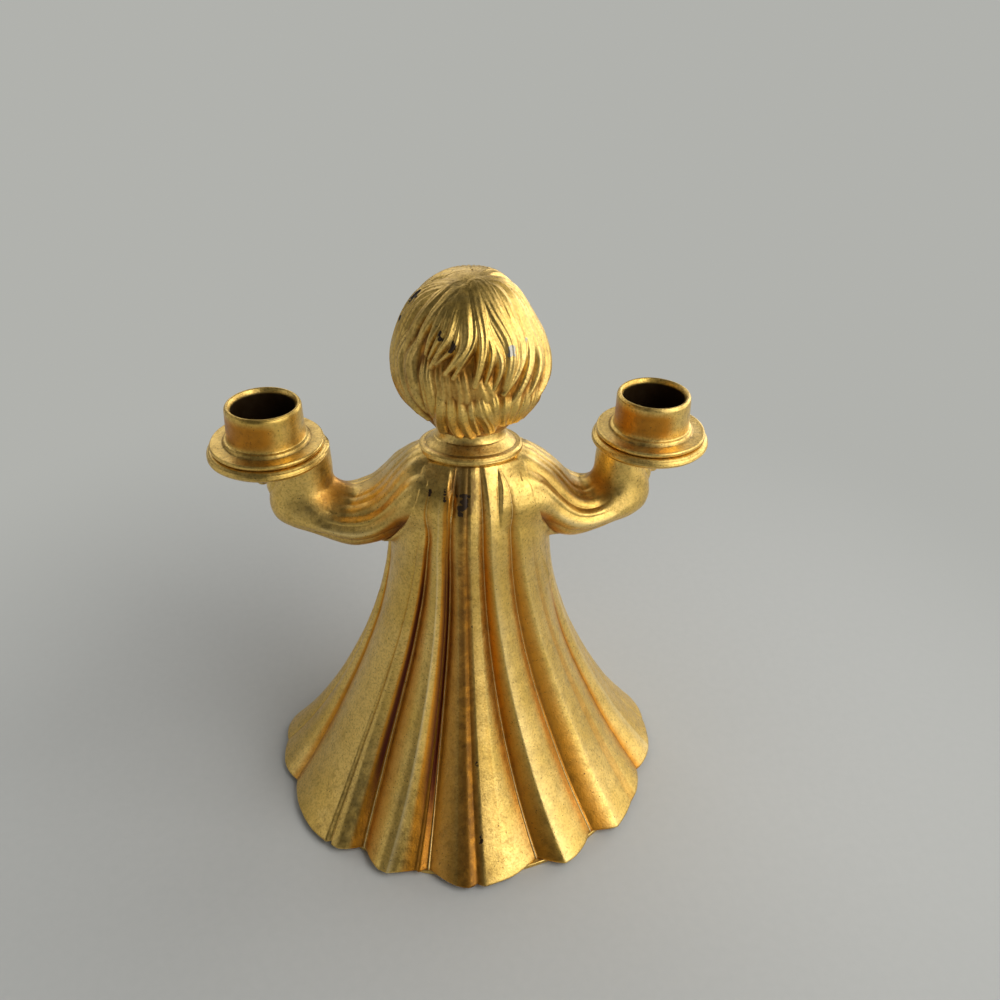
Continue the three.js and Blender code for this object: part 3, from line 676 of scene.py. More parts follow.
def melted(base, way, gap_to_other):
    """How far robe or sleeve rises along its own way out, to melt into the other one."""
    rise = np.zeros(base.shape[:-1])
    for _ in range(MELT_ROUNDS):
        spot = base + way * rise[..., None]
        gap = gap_to_other(spot)
        z = spot[..., 2]
        shoulder = ease(z, ARMPIT_HEIGHT, ARMPIT_HEIGHT + 11)
        wider = (SHOULDER_ROUND - ARMPIT_ROUND) * shoulder * (1 - 0.8 * ease(z, 121, 128))
        reach = ARMPIT_ROUND + wider
        overlap = np.clip(1 - np.abs(rise - gap) / reach, 0, 1)
        rise = rise - 0.6 * (np.minimum(rise, gap) - reach * overlap**2 / 4)
    return np.clip(rise, 0, MELT_MOST) * ease(gap_to_other(base), -2.5, 0.3)


def sleeve_gap(points):
    """Rough distance from the robe's points to the nearer sleeve."""
    gap = np.full(points.shape[:-1], FAR)
    share = np.linspace(0, 0.5, 40)
    power = SLEEVE_SQUARENESS
    for hand in (LEFT, RIGHT):
        middle, half, half_depth = sleeve_frame(hand, share)
        x = hand.side * points[..., 0]
        at = lambda values: np.interp(x, middle[:, 0], values)
        height = np.hypot(half[:, 0], half[:, 1])
        tall = (points[..., 2] - at(middle[:, 1])) / at(height)
        deep = (points[..., 1] + at(sleeve_forward(share))) / at(half_depth)
        size = (np.abs(tall) ** power + np.abs(deep) ** power) ** (1 / power)
        near = (size - 1) * np.minimum(at(height), at(half_depth))
        gap = np.minimum(gap, np.where(x > middle[0, 0], near, FAR))
    return gap


def sleeve_points(hand):
    """The sleeve's points, with their dirt and amber lacquer, painted shade in the armpit, the crook and the
    folds, and painted highlights on the fold crests.
    """
    before, part, sink = pleat_columns(SLEEVE_FOLDS, 1.0)
    line = np.array([fold.hem for fold in SLEEVE_FOLDS], float)
    turn = line[before] + (line[before + 1] - line[before]) * part
    angle = np.radians(np.arange(-180, 180, SLEEVE_STEP))
    share = np.linspace(0, 1, SLEEVE_ROWS)
    middle, half, half_depth = sleeve_frame(hand, share)
    strength = (ease(share, 0.06, 0.22) * (1 - ease(share, 0.46, 0.68)))[:, None]
    twist = SLEEVE_TWIST * ease(share, 0.1, 0.6)[:, None]
    depth = np.interp(np.degrees(np.abs(angle)) - twist, turn, sink)
    pinch = CROOK_PINCH * bump(share - CROOK_SHARE, 0.22)[:, None] * np.clip(np.cos(angle), 0, 1)
    up, out = squared(np.cos(angle), pinch), squared(np.sin(angle), pinch)
    x = middle[:, :1] + half[:, :1] * up
    z = middle[:, 1:] + half[:, 1:] * up
    y = -sleeve_forward(share)[:, None] + half_depth[:, None] * out
    lean = unit(half)
    way = np.stack([lean[:, :1] * np.cos(angle), 0 * x + np.sin(angle), lean[:, 1:] * np.cos(angle)], -1)
    points = np.stack([x, y, z], -1)
    gap = robe_gap(points)
    push = melted(points, way, robe_gap) - strength * depth
    push = push + 0.25 * wobble(points, 24, hand.seed) + 0.08 * wobble(points, 8, hand.seed + 1)
    points += way * push[..., None]
    upright = points[..., 2].copy()
    tilt_neckline(points)
    points[..., 2] += (upright - points[..., 2]) * ease(points[..., 0], 20, 38)
    points[..., 0] *= hand.side
    sunk = strength * np.clip(depth / 1.2, 0, 1)
    spread = ARMPIT_SHADE if hand.side > 0 else 0.6 * ARMPIT_SHADE
    # painted shade in the armpit, spreading out from where sleeve and robe meet
    shade = ease(z, 118, 110) * bump(np.clip(gap, 0, None), spread)
    # painted shade in the crook of the elbow
    crook = bump(share[:, None] - CROOK_SHARE - 0.05, 0.09) * ease(np.cos(angle), 0.1, 0.7)
    # painted shade in the folds' valleys, with that of the armpit and the crook
    grime_and_shade = 0.25 * sunk**4 + 0.6 * shade + 0.3 * crook
    # amber in the folds, and painted highlight on the fold crests where the value goes below zero
    lacquer_and_painted_light = 0.18 * sunk - 0.5 * strength * np.clip(1 - depth / 0.4, 0, 1)
    return points, grime_and_shade, lacquer_and_painted_light + 1.7 * shade + 0.7 * crook


def tube(shape, path, radius):
    """A rounded finger along a path."""
    share = np.linspace(0, 1, 22)
    line = spline(path, share)
    ahead = unit(np.gradient(line, axis=0))
    side = unit(np.cross(ahead, np.array([0.3, 0.2, 1.0])))
    over = np.cross(side, ahead)
    ends = np.minimum(share, 1 - share) * length_of(line)
    girth = radius * np.sqrt(np.clip(1 - (1 - np.clip(ends / radius, 0.02, 1)) ** 2, 0, 1))
    turn = full_turn(14)[None, :, None]
    ring = np.cos(turn) * side[:, None] + np.sin(turn) * over[:, None]
    shape.barrel(line[:, None] + girth[:, None, None] * ring, line[0], line[-1])


def blob(shape, centre, half):
    """A closed rounded mass."""
    centre, half = np.array(centre), np.array(half)
    tilt = np.linspace(0.12, math.pi - 0.12, 16)[:, None]
    ball = polar(np.sin(tilt), full_turn(24), np.cos(tilt))
    pole = half * (0, 0, 1)
    shape.barrel(centre + ball * half, centre + pole, centre - pole)


def hand_shape(hand):
    """Palm, fingers and thumb under the front of the pan, melted into one mass."""
    rough = Shape()
    side = hand.side
    x0, y0, _ = hand_spot(hand)
    blob(rough, (x0 - side * 4.5, y0 - 3.5, 118.7), (8.0, 8.6, 5.4))
    blob(rough, (x0 - side * 6.5, y0 - 1, 113.5), (8.5, 8.0, 9))
    for k in range(4):
        root = x0 + side * ((k - 1.6) * 3.5 - 1.5)
        tip = x0 + side * (k - 1.6) * 4.4
        shorter = 0.3 * (k - 1.4) ** 2
        tube(rough, [
            (root, y0 - 4, 111.5), ((root + tip) / 2, y0 - 11.2, 112.6),
            (tip, y0 - 15.2 + shorter, 116.8), (tip, y0 - 16.2 + shorter, 122.3 - shorter),
        ], FINGER_RADIUS)
    tube(rough, [
        (x0 - side * 8, y0 - 4, 112.5), (x0 - side * 12.2, y0 - 9.5, 115.5),
        (x0 - side * 12.4, y0 - 12.4, 121.0),
    ], THUMB_RADIUS)
    data = rough.mesh("rough_hand")
    holder = placed("rough_hand", data)
    melt = holder.modifiers.new("melt", "REMESH")
    melt.mode = "VOXEL"
    melt.voxel_size = HAND_VOXEL * MM
    soften = holder.modifiers.new("soften", "SMOOTH")
    soften.iterations = 6
    done = holder.evaluated_get(bpy.context.evaluated_depsgraph_get())
    solid = done.to_mesh()
    spots = np.empty(len(solid.vertices) * 3, np.float32)
    solid.vertices.foreach_get("co", spots)
    faces = [list(face.vertices) for face in solid.polygons]
    done.to_mesh_clear()
    bpy.data.objects.remove(holder)
    bpy.data.meshes.remove(data)
    return spots.reshape(-1, 3) / MM, faces


def arm(hand, material):
    shape = Shape()
    points, grime_and_shade, lacquer_and_painted_light = sleeve_points(hand)
    shape.barrel(points, points[0].mean(axis=0), points[-1].mean(axis=0), dirt=grime_and_shade, amber=lacquer_and_painted_light)
    spots, faces = hand_shape(hand)
    first = shape.count
    shape.add(spots)
    shape.faces.extend([first + k for k in face] for face in faces)
    piece(hand.word + "_arm_look", shape, hand.word + "_arm", material)


# Candle cups, drip pans and screws

def drip_pan(hand, material):
    outline = rounded([
        (3, PAN_FOOT, 0.2), (15.5, PAN_FOOT, 1.5), (PAN_RADIUS - 1.2, PAN_FOOT + 0.2, 0.8),
        (PAN_RADIUS, PAN_FOOT + 1.4, 0.8), (PAN_RADIUS, PAN_TOP - 1.1, 0.8), (PAN_RADIUS - 1.1, PAN_TOP, 0.8),
        (17.5, PAN_TOP + 0.1, 0.4), (16.8, PAN_TOP + 0.2, 0.3), (12.6, PAN_TOP + 0.2, 0.2),
        (12.6, PAN_FOOT + 1.8, 0.2), (3, PAN_FOOT + 1.8, 0.2),
    ], 6)
    # painted shade in the narrow gap under the edge of the cup's flange
    grime_and_shade = lambda r, z, turn: 0.4 * ease(r, 17.9, 16.9) * ease(z, PAN_FOOT + 1, PAN_FOOT + 2)
    shape = lathe(outline, hand_spot(hand), hand.seed + 3, 0.12, grime_and_shade)
    piece(hand.word + "_pan_look", shape, hand.word + "_drip_pan", material)


def candle_cup(hand, material):
    foot = FLANGE_TOP + 1.0
    outline = rounded([
        (3.5, SOCKET_FLOOR - 1.8, 0.2), (CUP_RADIUS, SOCKET_FLOOR - 1.8, 0.2), (CUP_RADIUS, FLANGE_FOOT, 0.2),
        (FLANGE_RADIUS - 0.7, FLANGE_FOOT, 0.5), (FLANGE_RADIUS, FLANGE_FOOT + 0.8, 0.6),
        (FLANGE_RADIUS - 0.3, FLANGE_TOP - 0.1, 0.5), (FLANGE_RADIUS - 1.6, FLANGE_TOP - 0.15, 0.4),
        (CUP_RADIUS + 1.7, FLANGE_TOP, 0.4), (CUP_RADIUS + 1.2, foot, 0.5),
        (CUP_RADIUS + 0.25, foot + 0.25, 0.4),
        (CUP_RADIUS + 0.15, foot + 1.5, 0.2), (CUP_RADIUS + 0.1, foot + 4, 0.2), (CUP_RADIUS, RIM - 4, 0.2),
        (CUP_RADIUS - 0.1, RIM - 0.9, 0.6), (CUP_RADIUS - 0.7, RIM, 0.6), (BORE_RADIUS + 0.75, RIM, 0.5),
        (BORE_RADIUS, RIM - 1.3, 0.7), (BORE_RADIUS - 0.15, SOCKET_FLOOR, 0.6), (3.5, SOCKET_FLOOR, 0.2),
    ], 6)
    inside = lambda r, z, turn: ease(r, BORE_RADIUS + 0.2, BORE_RADIUS - 0.02) * ease(z, RIM - 0.5, RIM - 1.8)

    # painted shade and highlight on the cup's round wall: darker amber round CUP_DARK_SIDE and paler on the
    # opposite side
    def wall_light_and_shade(r, z, turn):
        round_wall = ease(CUP_RADIUS + 0.6 - r, 0, 0.4) * ease(RIM - z, 0.8, 3.0) * ease(z, foot, foot + 3)
        return round_wall * (1.3 * ease(np.cos(turn - math.radians(CUP_DARK_SIDE)), 0.2, 0.8) - 0.2)

    def grime_and_shade(r, z, turn):
        # painted shade in the corner where the flange meets the wall, with the wall's painted shade
        corner = bump(r - CUP_RADIUS - 1.6, 0.35) * ease(z, FLANGE_TOP + 1.2, FLANGE_TOP)
        return 0.8 * corner + 0.3 * np.clip(wall_light_and_shade(r, z, turn), 0, 1)

    shape = lathe(outline, hand_spot(hand), hand.seed + 5, 0.1, grime_and_shade, inside, wall_light_and_shade)
    piece(hand.word + "_cup_look", shape, hand.word + "_candle_cup", material)


def cup_screw(hand, material):
    """Slotted round head on the floor of the cup, with its shank below."""
    outline = [
        (SCREW_RADIUS, -SCREW_LENGTH), (SCREW_RADIUS, 0), (SCREW_HEAD_RADIUS - 0.2, 0),
        (SCREW_HEAD_RADIUS, 0.3), (SCREW_HEAD_RADIUS - 0.05, 0.9), (2.6, 1.45), (1.9, 1.75),
        (1.2, 1.86), (0.6, SCREW_HEAD_RISE),
    ]
    turn = full_turn(72)
    rings = []
    for r, z in outline:
        ring = polar(r, turn, SOCKET_FLOOR + z)
        slot = ease(SCREW_SLOT / 2 + 0.08 - np.abs(ring[:, 1]), 0, 0.12) * (z > 0.8)
        ring[:, 2] -= SCREW_SLOT_DEPTH * slot
        rings.append(ring + hand_spot(hand))
    shape = Shape()
    slot_floor = SOCKET_FLOOR + SCREW_HEAD_RISE - SCREW_SLOT_DEPTH
    shape.barrel(np.array(rings), hand_spot(hand, SOCKET_FLOOR - SCREW_LENGTH), hand_spot(hand, slot_floor))
    piece(hand.word + "_screw_look", shape, hand.word + "_cup_screw", material)


def neck_collar(material):
    outline = rounded([(r, ROBE_TOP + rise, cut) for r, rise, cut in (
        (3, -8, 0.3), (9, -8, 0.3), (9, -0.6, 0.2), (15.8, -0.6, 0.6), (16.7, 0.4, 0.8), (16.8, 1.6, 0.9),
        (16.1, 2.7, 0.7), (15.0, 2.9, 0.4), (COLLAR_GROOVE, 2.75, 0.2), (14.0, 3.2, 0.4), (12.2, 4.6, 1.2),
        (11.0, 6.2, 1.2), (10.5, 9, 1.6), (10.4, 13, 0.6), (7.4, 13.2, 0.3), (7.4, 21, 0.3), (3, 21, 0.3),
    )], 6)

    # painted shade along the groove between collar and neck and under the collar where it sits on the robe
    def grime_and_shade(r, z, turn):
        foot = ease(z, ROBE_TOP + 0.6, ROBE_TOP) * ease(r, 12, 14)
        return 0.5 * bump(r - COLLAR_GROOVE, 0.25) + 0.3 * foot

    shape = lathe(outline, np.zeros(3), 5, 0.1, grime_and_shade, tilted=True)
    piece("neck_collar_look", shape, "neck_collar", material)


# Head

def head_foot(angle):
    """Height of the lower edge of the head, from the chin to the nape."""
    return CHIN + (NAPE - CHIN) * ease(np.sin(angle), -0.2, 0.6)


def head_point(angle, z):
    """A point of the smooth head under the hair."""
    above = np.clip((z - HEAD_WIDEST) / (SKULL_TOP - HEAD_WIDEST), 0, 1)
    foot = head_foot(angle)
    below = np.clip((HEAD_WIDEST - z) / (HEAD_WIDEST - foot), 0, 1)
    deep = np.where(np.sin(angle) > 0, HEAD_BACK_DEPTH, HEAD_FACE_DEPTH) - HAIR_INSET
    deep_foot = np.where(np.sin(angle) > 0, HEAD_FOOT_SIZE, CHIN_SIZE)
    wide = HEAD_HALF_WIDTH - HAIR_INSET
    under = np.clip(1 - (z - foot) / JAW_ROUND, 0, 1) * ease(-np.sin(angle), -0.1, 0.3)
    tuck = JAW_ROUND * (1 - np.sqrt(1 - under**2))

    def size(half, least):
        lower = least + (half - least) * np.cos(below * math.pi / 2) - tuck
        return np.where(z > HEAD_WIDEST, half * np.sqrt(1 - above**2), lower)

    x = size(wide, HEAD_FOOT_SIZE) * np.cos(angle)
    x = np.where(x < 0, x * (1 - RIGHT_FLATTENING * bump(z - RIGHT_FLAT_HEIGHT, 6)), x)
    return np.stack([x, size(deep, deep_foot) * np.sin(angle), z + 0 * angle], -1)


def hair_locks():
    """The locks of the back, as seen, with a fringe and side locks of the same cut in front."""
    dice = np.random.default_rng(31)
    locks = list(LOCKS)
    for k in range(FRINGE_LOCKS):
        share = (k + 0.5) / FRINGE_LOCKS
        angle = FRINGE_START + FRINGE_SPAN * share
        sweep = 9 * math.sin(5 * share) + dice.uniform(-2, 2)
        tip = FRINGE + 2.0 * abs(2 * share - 1) ** 2 + dice.uniform(-1.4, 1.2)
        path = (angle + 2, 184), (angle + sweep * 0.3, 178), (angle + sweep, tip)
        locks.append(Lock(path, 4.1, 1.5, 0.6, 0.45))
    for k in range(SIDE_LOCKS):
        for mirror in (1, -1):
            angle = (270 + mirror * (88 - 9 * k)) % 360
            foot = SIDE_LOCK_FOOT + 2.6 * k + dice.uniform(-1, 1)
            path = (angle, 180 - 2 * k), (angle - mirror * 3, 167), (angle - mirror * (2 + k), foot)
            locks.append(Lock(path, 4.2, 1.5, 0.65, 0.4))
    return locks


def hair_relief(points):
    """How far the hair stands off the smooth head."""
    flat = points.reshape(-1, 3)
    relief = np.zeros(len(flat))
    for order, lock in enumerate(hair_locks()):
        path = np.array(lock.path, float)
        knots = head_point(np.radians(path[:, 0]), path[:, 1])
        if path[0, 1] > WHORL_LOCKS:
            knots = np.vstack([WHORL, knots])
        share = np.linspace(0, 1, 60)
        line = spline(knots, share)
        ahead = unit(np.gradient(line, axis=0))
        length = length_of(line)
        near = np.linalg.norm(flat[:, None, :] - line[None, ::4], axis=2).min(axis=1) < lock.width + 3
        spots = flat[near]
        if not len(spots):
            continue
        best = np.linalg.norm(spots[:, None, :] - line[None], axis=2).argmin(axis=1)
        offset = spots - line[best]
        slide = (offset * ahead[best]).sum(axis=1)
        offset = offset - slide[:, None] * ahead[best]
        away = unit(np.cross(ahead[best], line[best] - HEAD_CENTRE))
        across = (offset * away).sum(axis=1)
        past = np.where((best == 0) | (best == len(line) - 1), slide, 0)
        gap = np.hypot(across, past)
        along = np.clip(share[best] + slide / length, 0, 1)
        width = lock.width * (0.55 + 0.45 * ease(along, 0, 0.35))
        width = width * (1 - lock.narrowing * ease(along, 0.6, 1.0))
        root = 0.6 if path[0, 1] > WHORL_LOCKS else 0.15
        rise = HAIR_DEPTH * lock.rise * (root + (1 - root) * ease(along, 0, 0.4))
        rise = rise * (1 - lock.sinking * ease(along, 0.8, 1.0))
        crown = rise * np.clip(1 - np.abs(gap / width) ** 2.4, 0, 1)
        strand = 0.15 * np.sin(2 * math.pi * across / (1.4 + 0.3 * (order % 4)) + order + 3 * along)
        relief[near] = np.maximum(relief[near], crown + strand * np.clip(crown / rise, 0, 1))
    relief = relief.reshape(points.shape[:-1])
    crown = 1 - ease(np.linalg.norm(points - WHORL, axis=-1), CROWN_SMOOTH, CROWN_END)
    return relief + crown * (CROWN_RISE + 0.2 * (relief - CROWN_RISE) - relief)


def face_relief(points):
    """A calm child's face with lowered lids, on the front of the smooth head."""
    x, z = points[..., 0], points[..., 2]
    side = np.abs(x)
    relief = sum(m.rise * bump(side - m.x, m.wide) * bump(z - m.z, m.tall) for m in MOUNDS)
    place = (side - EYE_X) / EYE_HALF_WIDTH
    relief -= 1.5 * bump(place, 1.05) * bump((z - EYE_Z) / 3.2, 1)
    lid = np.clip(1 - place**2 - ((z - EYE_Z) / 3.0) ** 2, 0, 1)
    relief += 1.75 * lid * (2 - lid)
    arch = 1 - place**2
    in_eye = ease(1 - np.abs(place), 0, 0.25)
    lash = EYE_Z - 0.9 - 0.9 * arch
    relief -= 0.5 * bump(z - lash, 0.24) * in_eye
    relief += 0.35 * bump(z - lash - 0.6, 0.35) * in_eye
    relief -= 0.28 * bump(z - EYE_Z - 1.3 - 1.2 * arch, 0.35) * in_eye
    brow = EYE_Z + 4.7 + 1.1 * arch
    relief += 0.5 * bump(z - brow, 0.85) * ease(1.25 - np.abs(place), 0, 0.5)
    slope = np.clip((EYE_Z + 1 - z) / (EYE_Z + 1 - NOSE_Z), 0, 1)
    bridge = (0.5 + 2.7 * slope**1.3) * ease(z, NOSE_Z - 1.8, NOSE_Z + 0.3) * (1 - ease(z, EYE_Z, EYE_Z + 3))
    relief += bridge * bump(side, 1.2 + 0.9 * slope)
    mouth = ease(MOUTH_HALF_WIDTH - side, 0, 2.4)
    parting = MOUTH_Z + 0.03 * side**2 - 0.2 * bump(side, 0.9)
    relief += 0.7 * bump(z - parting - 0.8, 0.65) * mouth * (1 - 0.3 * bump(side, 0.7))
    relief += 0.8 * bump(z - parting + 1.0, 0.8) * ease(MOUTH_HALF_WIDTH - 1 - side, 0, 2.6)
    relief -= 0.55 * bump(z - parting, 0.26) * mouth
    return relief


def head_half(node, facing, material, seed):
    angle = facing * np.linspace(0, math.pi, HEAD_COLUMNS)[None, :]
    dome = np.radians(np.linspace(0.8, 90, CROWN_ROWS))
    upper = HEAD_WIDEST + (SKULL_TOP - HEAD_WIDEST) * np.cos(dome)
    lower = HEAD_WIDEST - (HEAD_WIDEST - head_foot(angle)) * np.linspace(0, 1, CHEEK_ROWS)[1:, None]
    z = np.vstack([upper[:, None] + 0 * angle, lower])
    base = head_point(angle + 0 * z, z)
    away = unit(base - HEAD_CENTRE)
    hair = hair_relief(base)
    push = hair
    # painted shade in the grooves between the locks, darker and more amber
    groove_shade = 1 - np.clip(hair / 1.1, 0, 1)
    if facing < 0:
        face = ease(-np.sin(angle), 0.25, 0.45) * ease(FRINGE + 2 - z, 0, 2)
        skin = SKIN_RISE + face_relief(base) * ease(0.8 - hair, 0, 0.5) + np.clip(hair - SKIN_RISE, 0, None)
        push = hair + face * (skin - hair)
        groove_shade = groove_shade * (1 - face * ease(0.35 - hair, 0, 0.3))
    push = push + 0.12 * wobble(base, 16, seed)
    points = base + away * push[..., None]
    points[..., 1] += facing * SEAM / 2
    inner = base - away * WALL
    shape = Shape()
    behind = ease(np.sin(angle), -0.1, 0.3)
    # olive darkening towards the left and the top of the back of the head: painted shade on the side away
    # from the lamps, laid on as an olive film
    olive_film_and_shade = facing * (0.3 * ease(points[..., 0], 6, 20) + 0.25 * ease(z, 178, 185)) * behind
    # painted highlight: the raised locks on the right, towards the lamps, are paler
    pale = 0.2 * ease(-points[..., 0], 4, 14) * ease(z, 152, 168) * ease(hair, 0.8, 1.6)
    dirt = np.clip(0.95 * groove_shade**1.5 + olive_film_and_shade, 0, 1)
    shape.shell(points, inner, dirt, 0.85 * groove_shade - pale)
    piece(node + "_look", shape, node, material)


# Materials

GOLD = (0.88, 0.60, 0.17, 1)
GOLD_DULL = (0.78, 0.51, 0.11, 1)
# pale rubbed gold, also used for painted highlights
GOLD_PALE = (0.94, 0.74, 0.34, 1)
GOLD_DEEP = (0.50, 0.30, 0.06, 1)
# amber lacquer, also used for painted shade and painted reflection in the folds
GOLD_AMBER = (0.68, 0.27, 0.015, 1)
# painted shade in the deepest valleys
SHADE_MAROON = (0.09, 0.011, 0.005, 1)
# dirt, also used for painted shade in creases, corners and under parts
GRIME_AND_SHADE = (0.085, 0.038, 0.010, 1)
PLASTIC = (0.034, 0.016, 0.004, 1)
ALUMINIUM = (0.30, 0.34, 0.37, 1)
ZINC = (0.42, 0.41, 0.39, 1)
ZINC_STAIN = (0.2, 0.15, 0.1, 1)
FLOOR_DARK = (0.58, 0.585, 0.555, 1)
FLOOR_LIGHT = (0.62, 0.62, 0.59, 1)
FLOOR_TONE = (0.44, 0.445, 0.42, 1)
FLOOR_NEAR = 0.1  # between these distances, in metres, the floor fades to its plain tone
FLOOR_FAR = 0.32

# Chips in the lacquer, each a place on the surface and a radius
ROBE_CHIPS = [
    (5.6, 20.3, 122.7, 0.55), (4.7, 20.7, 122.9, 0.55), (3.8, 21.0, 123.0, 0.6), (2.9, 21.2, 123.1, 0.55),
    (2.0, 21.3, 123.1, 0.5), (3.6, 22.0, 121.2, 1.3), (4.6, 22.6, 119.8, 1.2), (4.9, 23.3, 117.9, 0.8),
    (9.3, 19.9, 125.0, 0.4), (9.3, 20.3, 124.3, 0.45), (9.4, 20.8, 123.6, 0.5), (9.5, 21.2, 122.8, 0.55),
    (9.6, 21.6, 122.0, 0.5), (13.8, 18.9, 124.3, 0.45), (13.8, 19.3, 123.7, 0.5), (13.9, 19.7, 123, 0.45),
    (1.6, 33.5, 71, 1.3), (1.5, 30.4, 78, 0.9), (1.5, 48.5, 35, 1.5), (1.4, 56.5, 22, 1.2),
    (0.6, 61.8, 14, 1.6), (-12.5, 50.5, 23, 1.6),
]
HEAD_CHIPS = [
    (10.6, 17.7, 174.9, 0.8), (10.2, 18.1, 173.6, 0.9), (6.7, 20.4, 172.7, 1.2), (7.1, 20.9, 171.6, 1.1),
    (17.0, -0.4, 179, 2.1), (21.4, -0.5, 172.5, 1.1), (23.4, 0.3, 166, 0.9),
]
HEAD_BRIGHT_CHIPS = [(-9.9, 20.6, 170.2, 1.2), (-14.5, 15, 171, 0.8)]
HEAD_PALE = 0.15  # the head is rubbed paler than the rest


class Graph:
    """A material, with short names for its nodes."""

    def __init__(self, name):
        self.material = bpy.data.materials.new(name)
        self.material.use_nodes = True
        self.nodes = self.material.node_tree.nodes
        self.links = self.material.node_tree.links
        self.shader = self.nodes["Principled BSDF"]
        self.place = self.nodes.new("ShaderNodeTexCoord").outputs["Object"]

    def put(self, inputs, values):
        """Links or sets some inputs of a node."""
        for key, value in values.items():
            if isinstance(value, bpy.types.NodeSocket):
                self.links.new(value, inputs[key])
            else:
                inputs[key].default_value = value

    def node(self, kind, result, values, **settings):
        """One output of a new node with these settings and inputs."""
        node = self.nodes.new("ShaderNode" + kind)
        for key, value in settings.items():
            setattr(node, key, value)
        self.put(node.inputs, values)
        return node.outputs[result]

    def noise(self, scale, detail=4.0, rough=0.55):
        values = {"Vector": self.place, "Scale": scale, "Detail": detail, "Roughness": rough}
        return self.node("TexNoise", "Fac", values)

    def span(self, value, low, high, out_low=0.0, out_high=1.0):
        """The value's way from low to high, eased, as the way from one number to another."""
        values = {"Value": value, "From Min": low, "From Max": high, "To Min": out_low, "To Max": out_high}
        return self.node("MapRange", "Result", values, interpolation_type="SMOOTHSTEP")

    def math(self, how, a, b):
        return self.node("Math", "Value", {0: a, 1: b}, operation=how, use_clamp=how in ("ADD", "SUBTRACT"))

    def mix(self, share, a, b):
        return self.node("Mix", "Result", {"Factor": share, "A": a, "B": b}, data_type="RGBA")

    def mark(self, name):
        return self.node("Attribute", "Fac", {}, attribute_name=name)

    def bump(self, height, strength, distance):
        values = {"Height": height, "Strength": strength, "Distance": distance * MM}
        return self.node("Bump", "Normal", values)

    def chipped(self, mark, chips, ragged, scale):
        """The mark, and 1 inside each chip, whose edge is ragged by a share of its radius."""
        for *spot, radius in chips:
            values = {0: self.place, 1: [part * MM for part in spot]}
            away = self.node("VectorMath", "Value", values, operation="DISTANCE")
            rag = radius * ragged * MM
            away = self.math("ADD", away, self.span(self.noise(scale, 3.0), 0.3, 0.7, -rag, rag))
            inside = self.span(away, radius * MM * 1.08, radius * MM * 0.92)
            mark = self.math("MAXIMUM", mark, inside)
        return mark


def worn_gold(name, chips=(), bright_chips=(), pale=0.0):
    """Gold lacquer over metallised plastic: rubbed, speckled and chipped in places, dirty and darkened with
    painted shade in the grooves, and painted paler as highlight on crests and on the lit side.
    """
    g = Graph(name)
    uneven = g.span(g.noise(38, 3.0), 0.35, 0.68)
    colour = g.mix(uneven, GOLD, GOLD_DULL)
    rubbed = g.span(g.noise(110, 5.0, 0.65), 0.5, 0.75, 0.0, 0.15 + pale)
    colour = g.mix(rubbed, colour, GOLD_PALE)
    sandy = g.span(g.noise(1200, 2.0, 0.5), 0.42, 0.7, 0.0, 0.55)
    colour = g.mix(sandy, colour, GOLD_DEEP)
    # painted highlight where the amber mark drops below zero, partly for rubbing
    rubbed_and_lit = g.span(g.mark("amber"), 0.0, -1.0)
    colour = g.mix(rubbed_and_lit, colour, GOLD_PALE)
    # amber lacquer, and painted shade and painted reflection, as the amber mark rises
    colour = g.mix(g.span(g.mark("amber"), 0.0, 1.0, 0.0, 0.95), colour, GOLD_AMBER)
    # painted shade in maroon where the amber mark passes 0.9
    colour = g.mix(g.span(g.mark("amber"), 0.9, 2.0), colour, SHADE_MAROON)
    speck = g.span(g.noise(1500, 2.0, 0.6), 0.64, 0.73, 0.0, 0.8)
    film = g.span(g.noise(260, 6.0, 0.75), 0.46, 0.74, 0.0, 0.4)
    patchy = g.span(g.noise(300, 4.0), 0.25, 0.6, 0.35, 1.0)
    # the dirt mark holds real dirt and painted shade in creases, corners and under parts
    dirt = g.math("ADD", g.math("MULTIPLY", g.mark("dirt"), patchy), film)
    dirt = g.math("MAXIMUM", g.math("MULTIPLY", dirt, 0.75), speck)
    colour = g.mix(dirt, colour, GRIME_AND_SHADE)
    if bright_chips:
        silver = g.chipped(0.0, bright_chips, 0.7, 520)
        colour = g.mix(g.math("MULTIPLY", silver, 0.75), colour, ALUMINIUM)
    bare = g.chipped(g.mark("bare"), chips, 0.5, 600)
    dull = g.math("ADD", g.math("MULTIPLY", bare, 0.4), g.math("MULTIPLY", rubbed_and_lit, 0.5))
    rough = g.span(g.noise(420, 4.0, 0.6), 0.3, 0.7, 0.29, 0.46)
    grain = g.math("MULTIPLY", g.noise(1700, 3.0, 0.6), 0.55)
    grain = g.math("ADD", grain, g.math("MULTIPLY", g.noise(420, 3.0), 0.45))
    g.put(g.shader.inputs, {
        "Base Color": g.mix(bare, colour, PLASTIC),
        "Metallic": g.math("SUBTRACT", 1.0, dull),
        "Roughness": g.math("ADD", rough, g.math("MULTIPLY", dirt, 0.22)),
        "Coat Weight": 0.2,
        "Coat Roughness": 0.3,
        "Normal": g.bump(grain, 0.9, 0.16),
    })
    return g.material


def dull_zinc(name):
    g = Graph(name)
    stain = g.span(g.noise(700, 4.0), 0.4, 0.7)
    g.put(g.shader.inputs, {
        "Base Color": g.mix(stain, ZINC, ZINC_STAIN),
        "Metallic": 1.0,
        "Roughness": g.span(g.noise(900, 3.0), 0.3, 0.7, 0.3, 0.6),
        "Normal": g.bump(g.noise(1800, 2.0), 0.3, 0.05),
    })
    return g.material


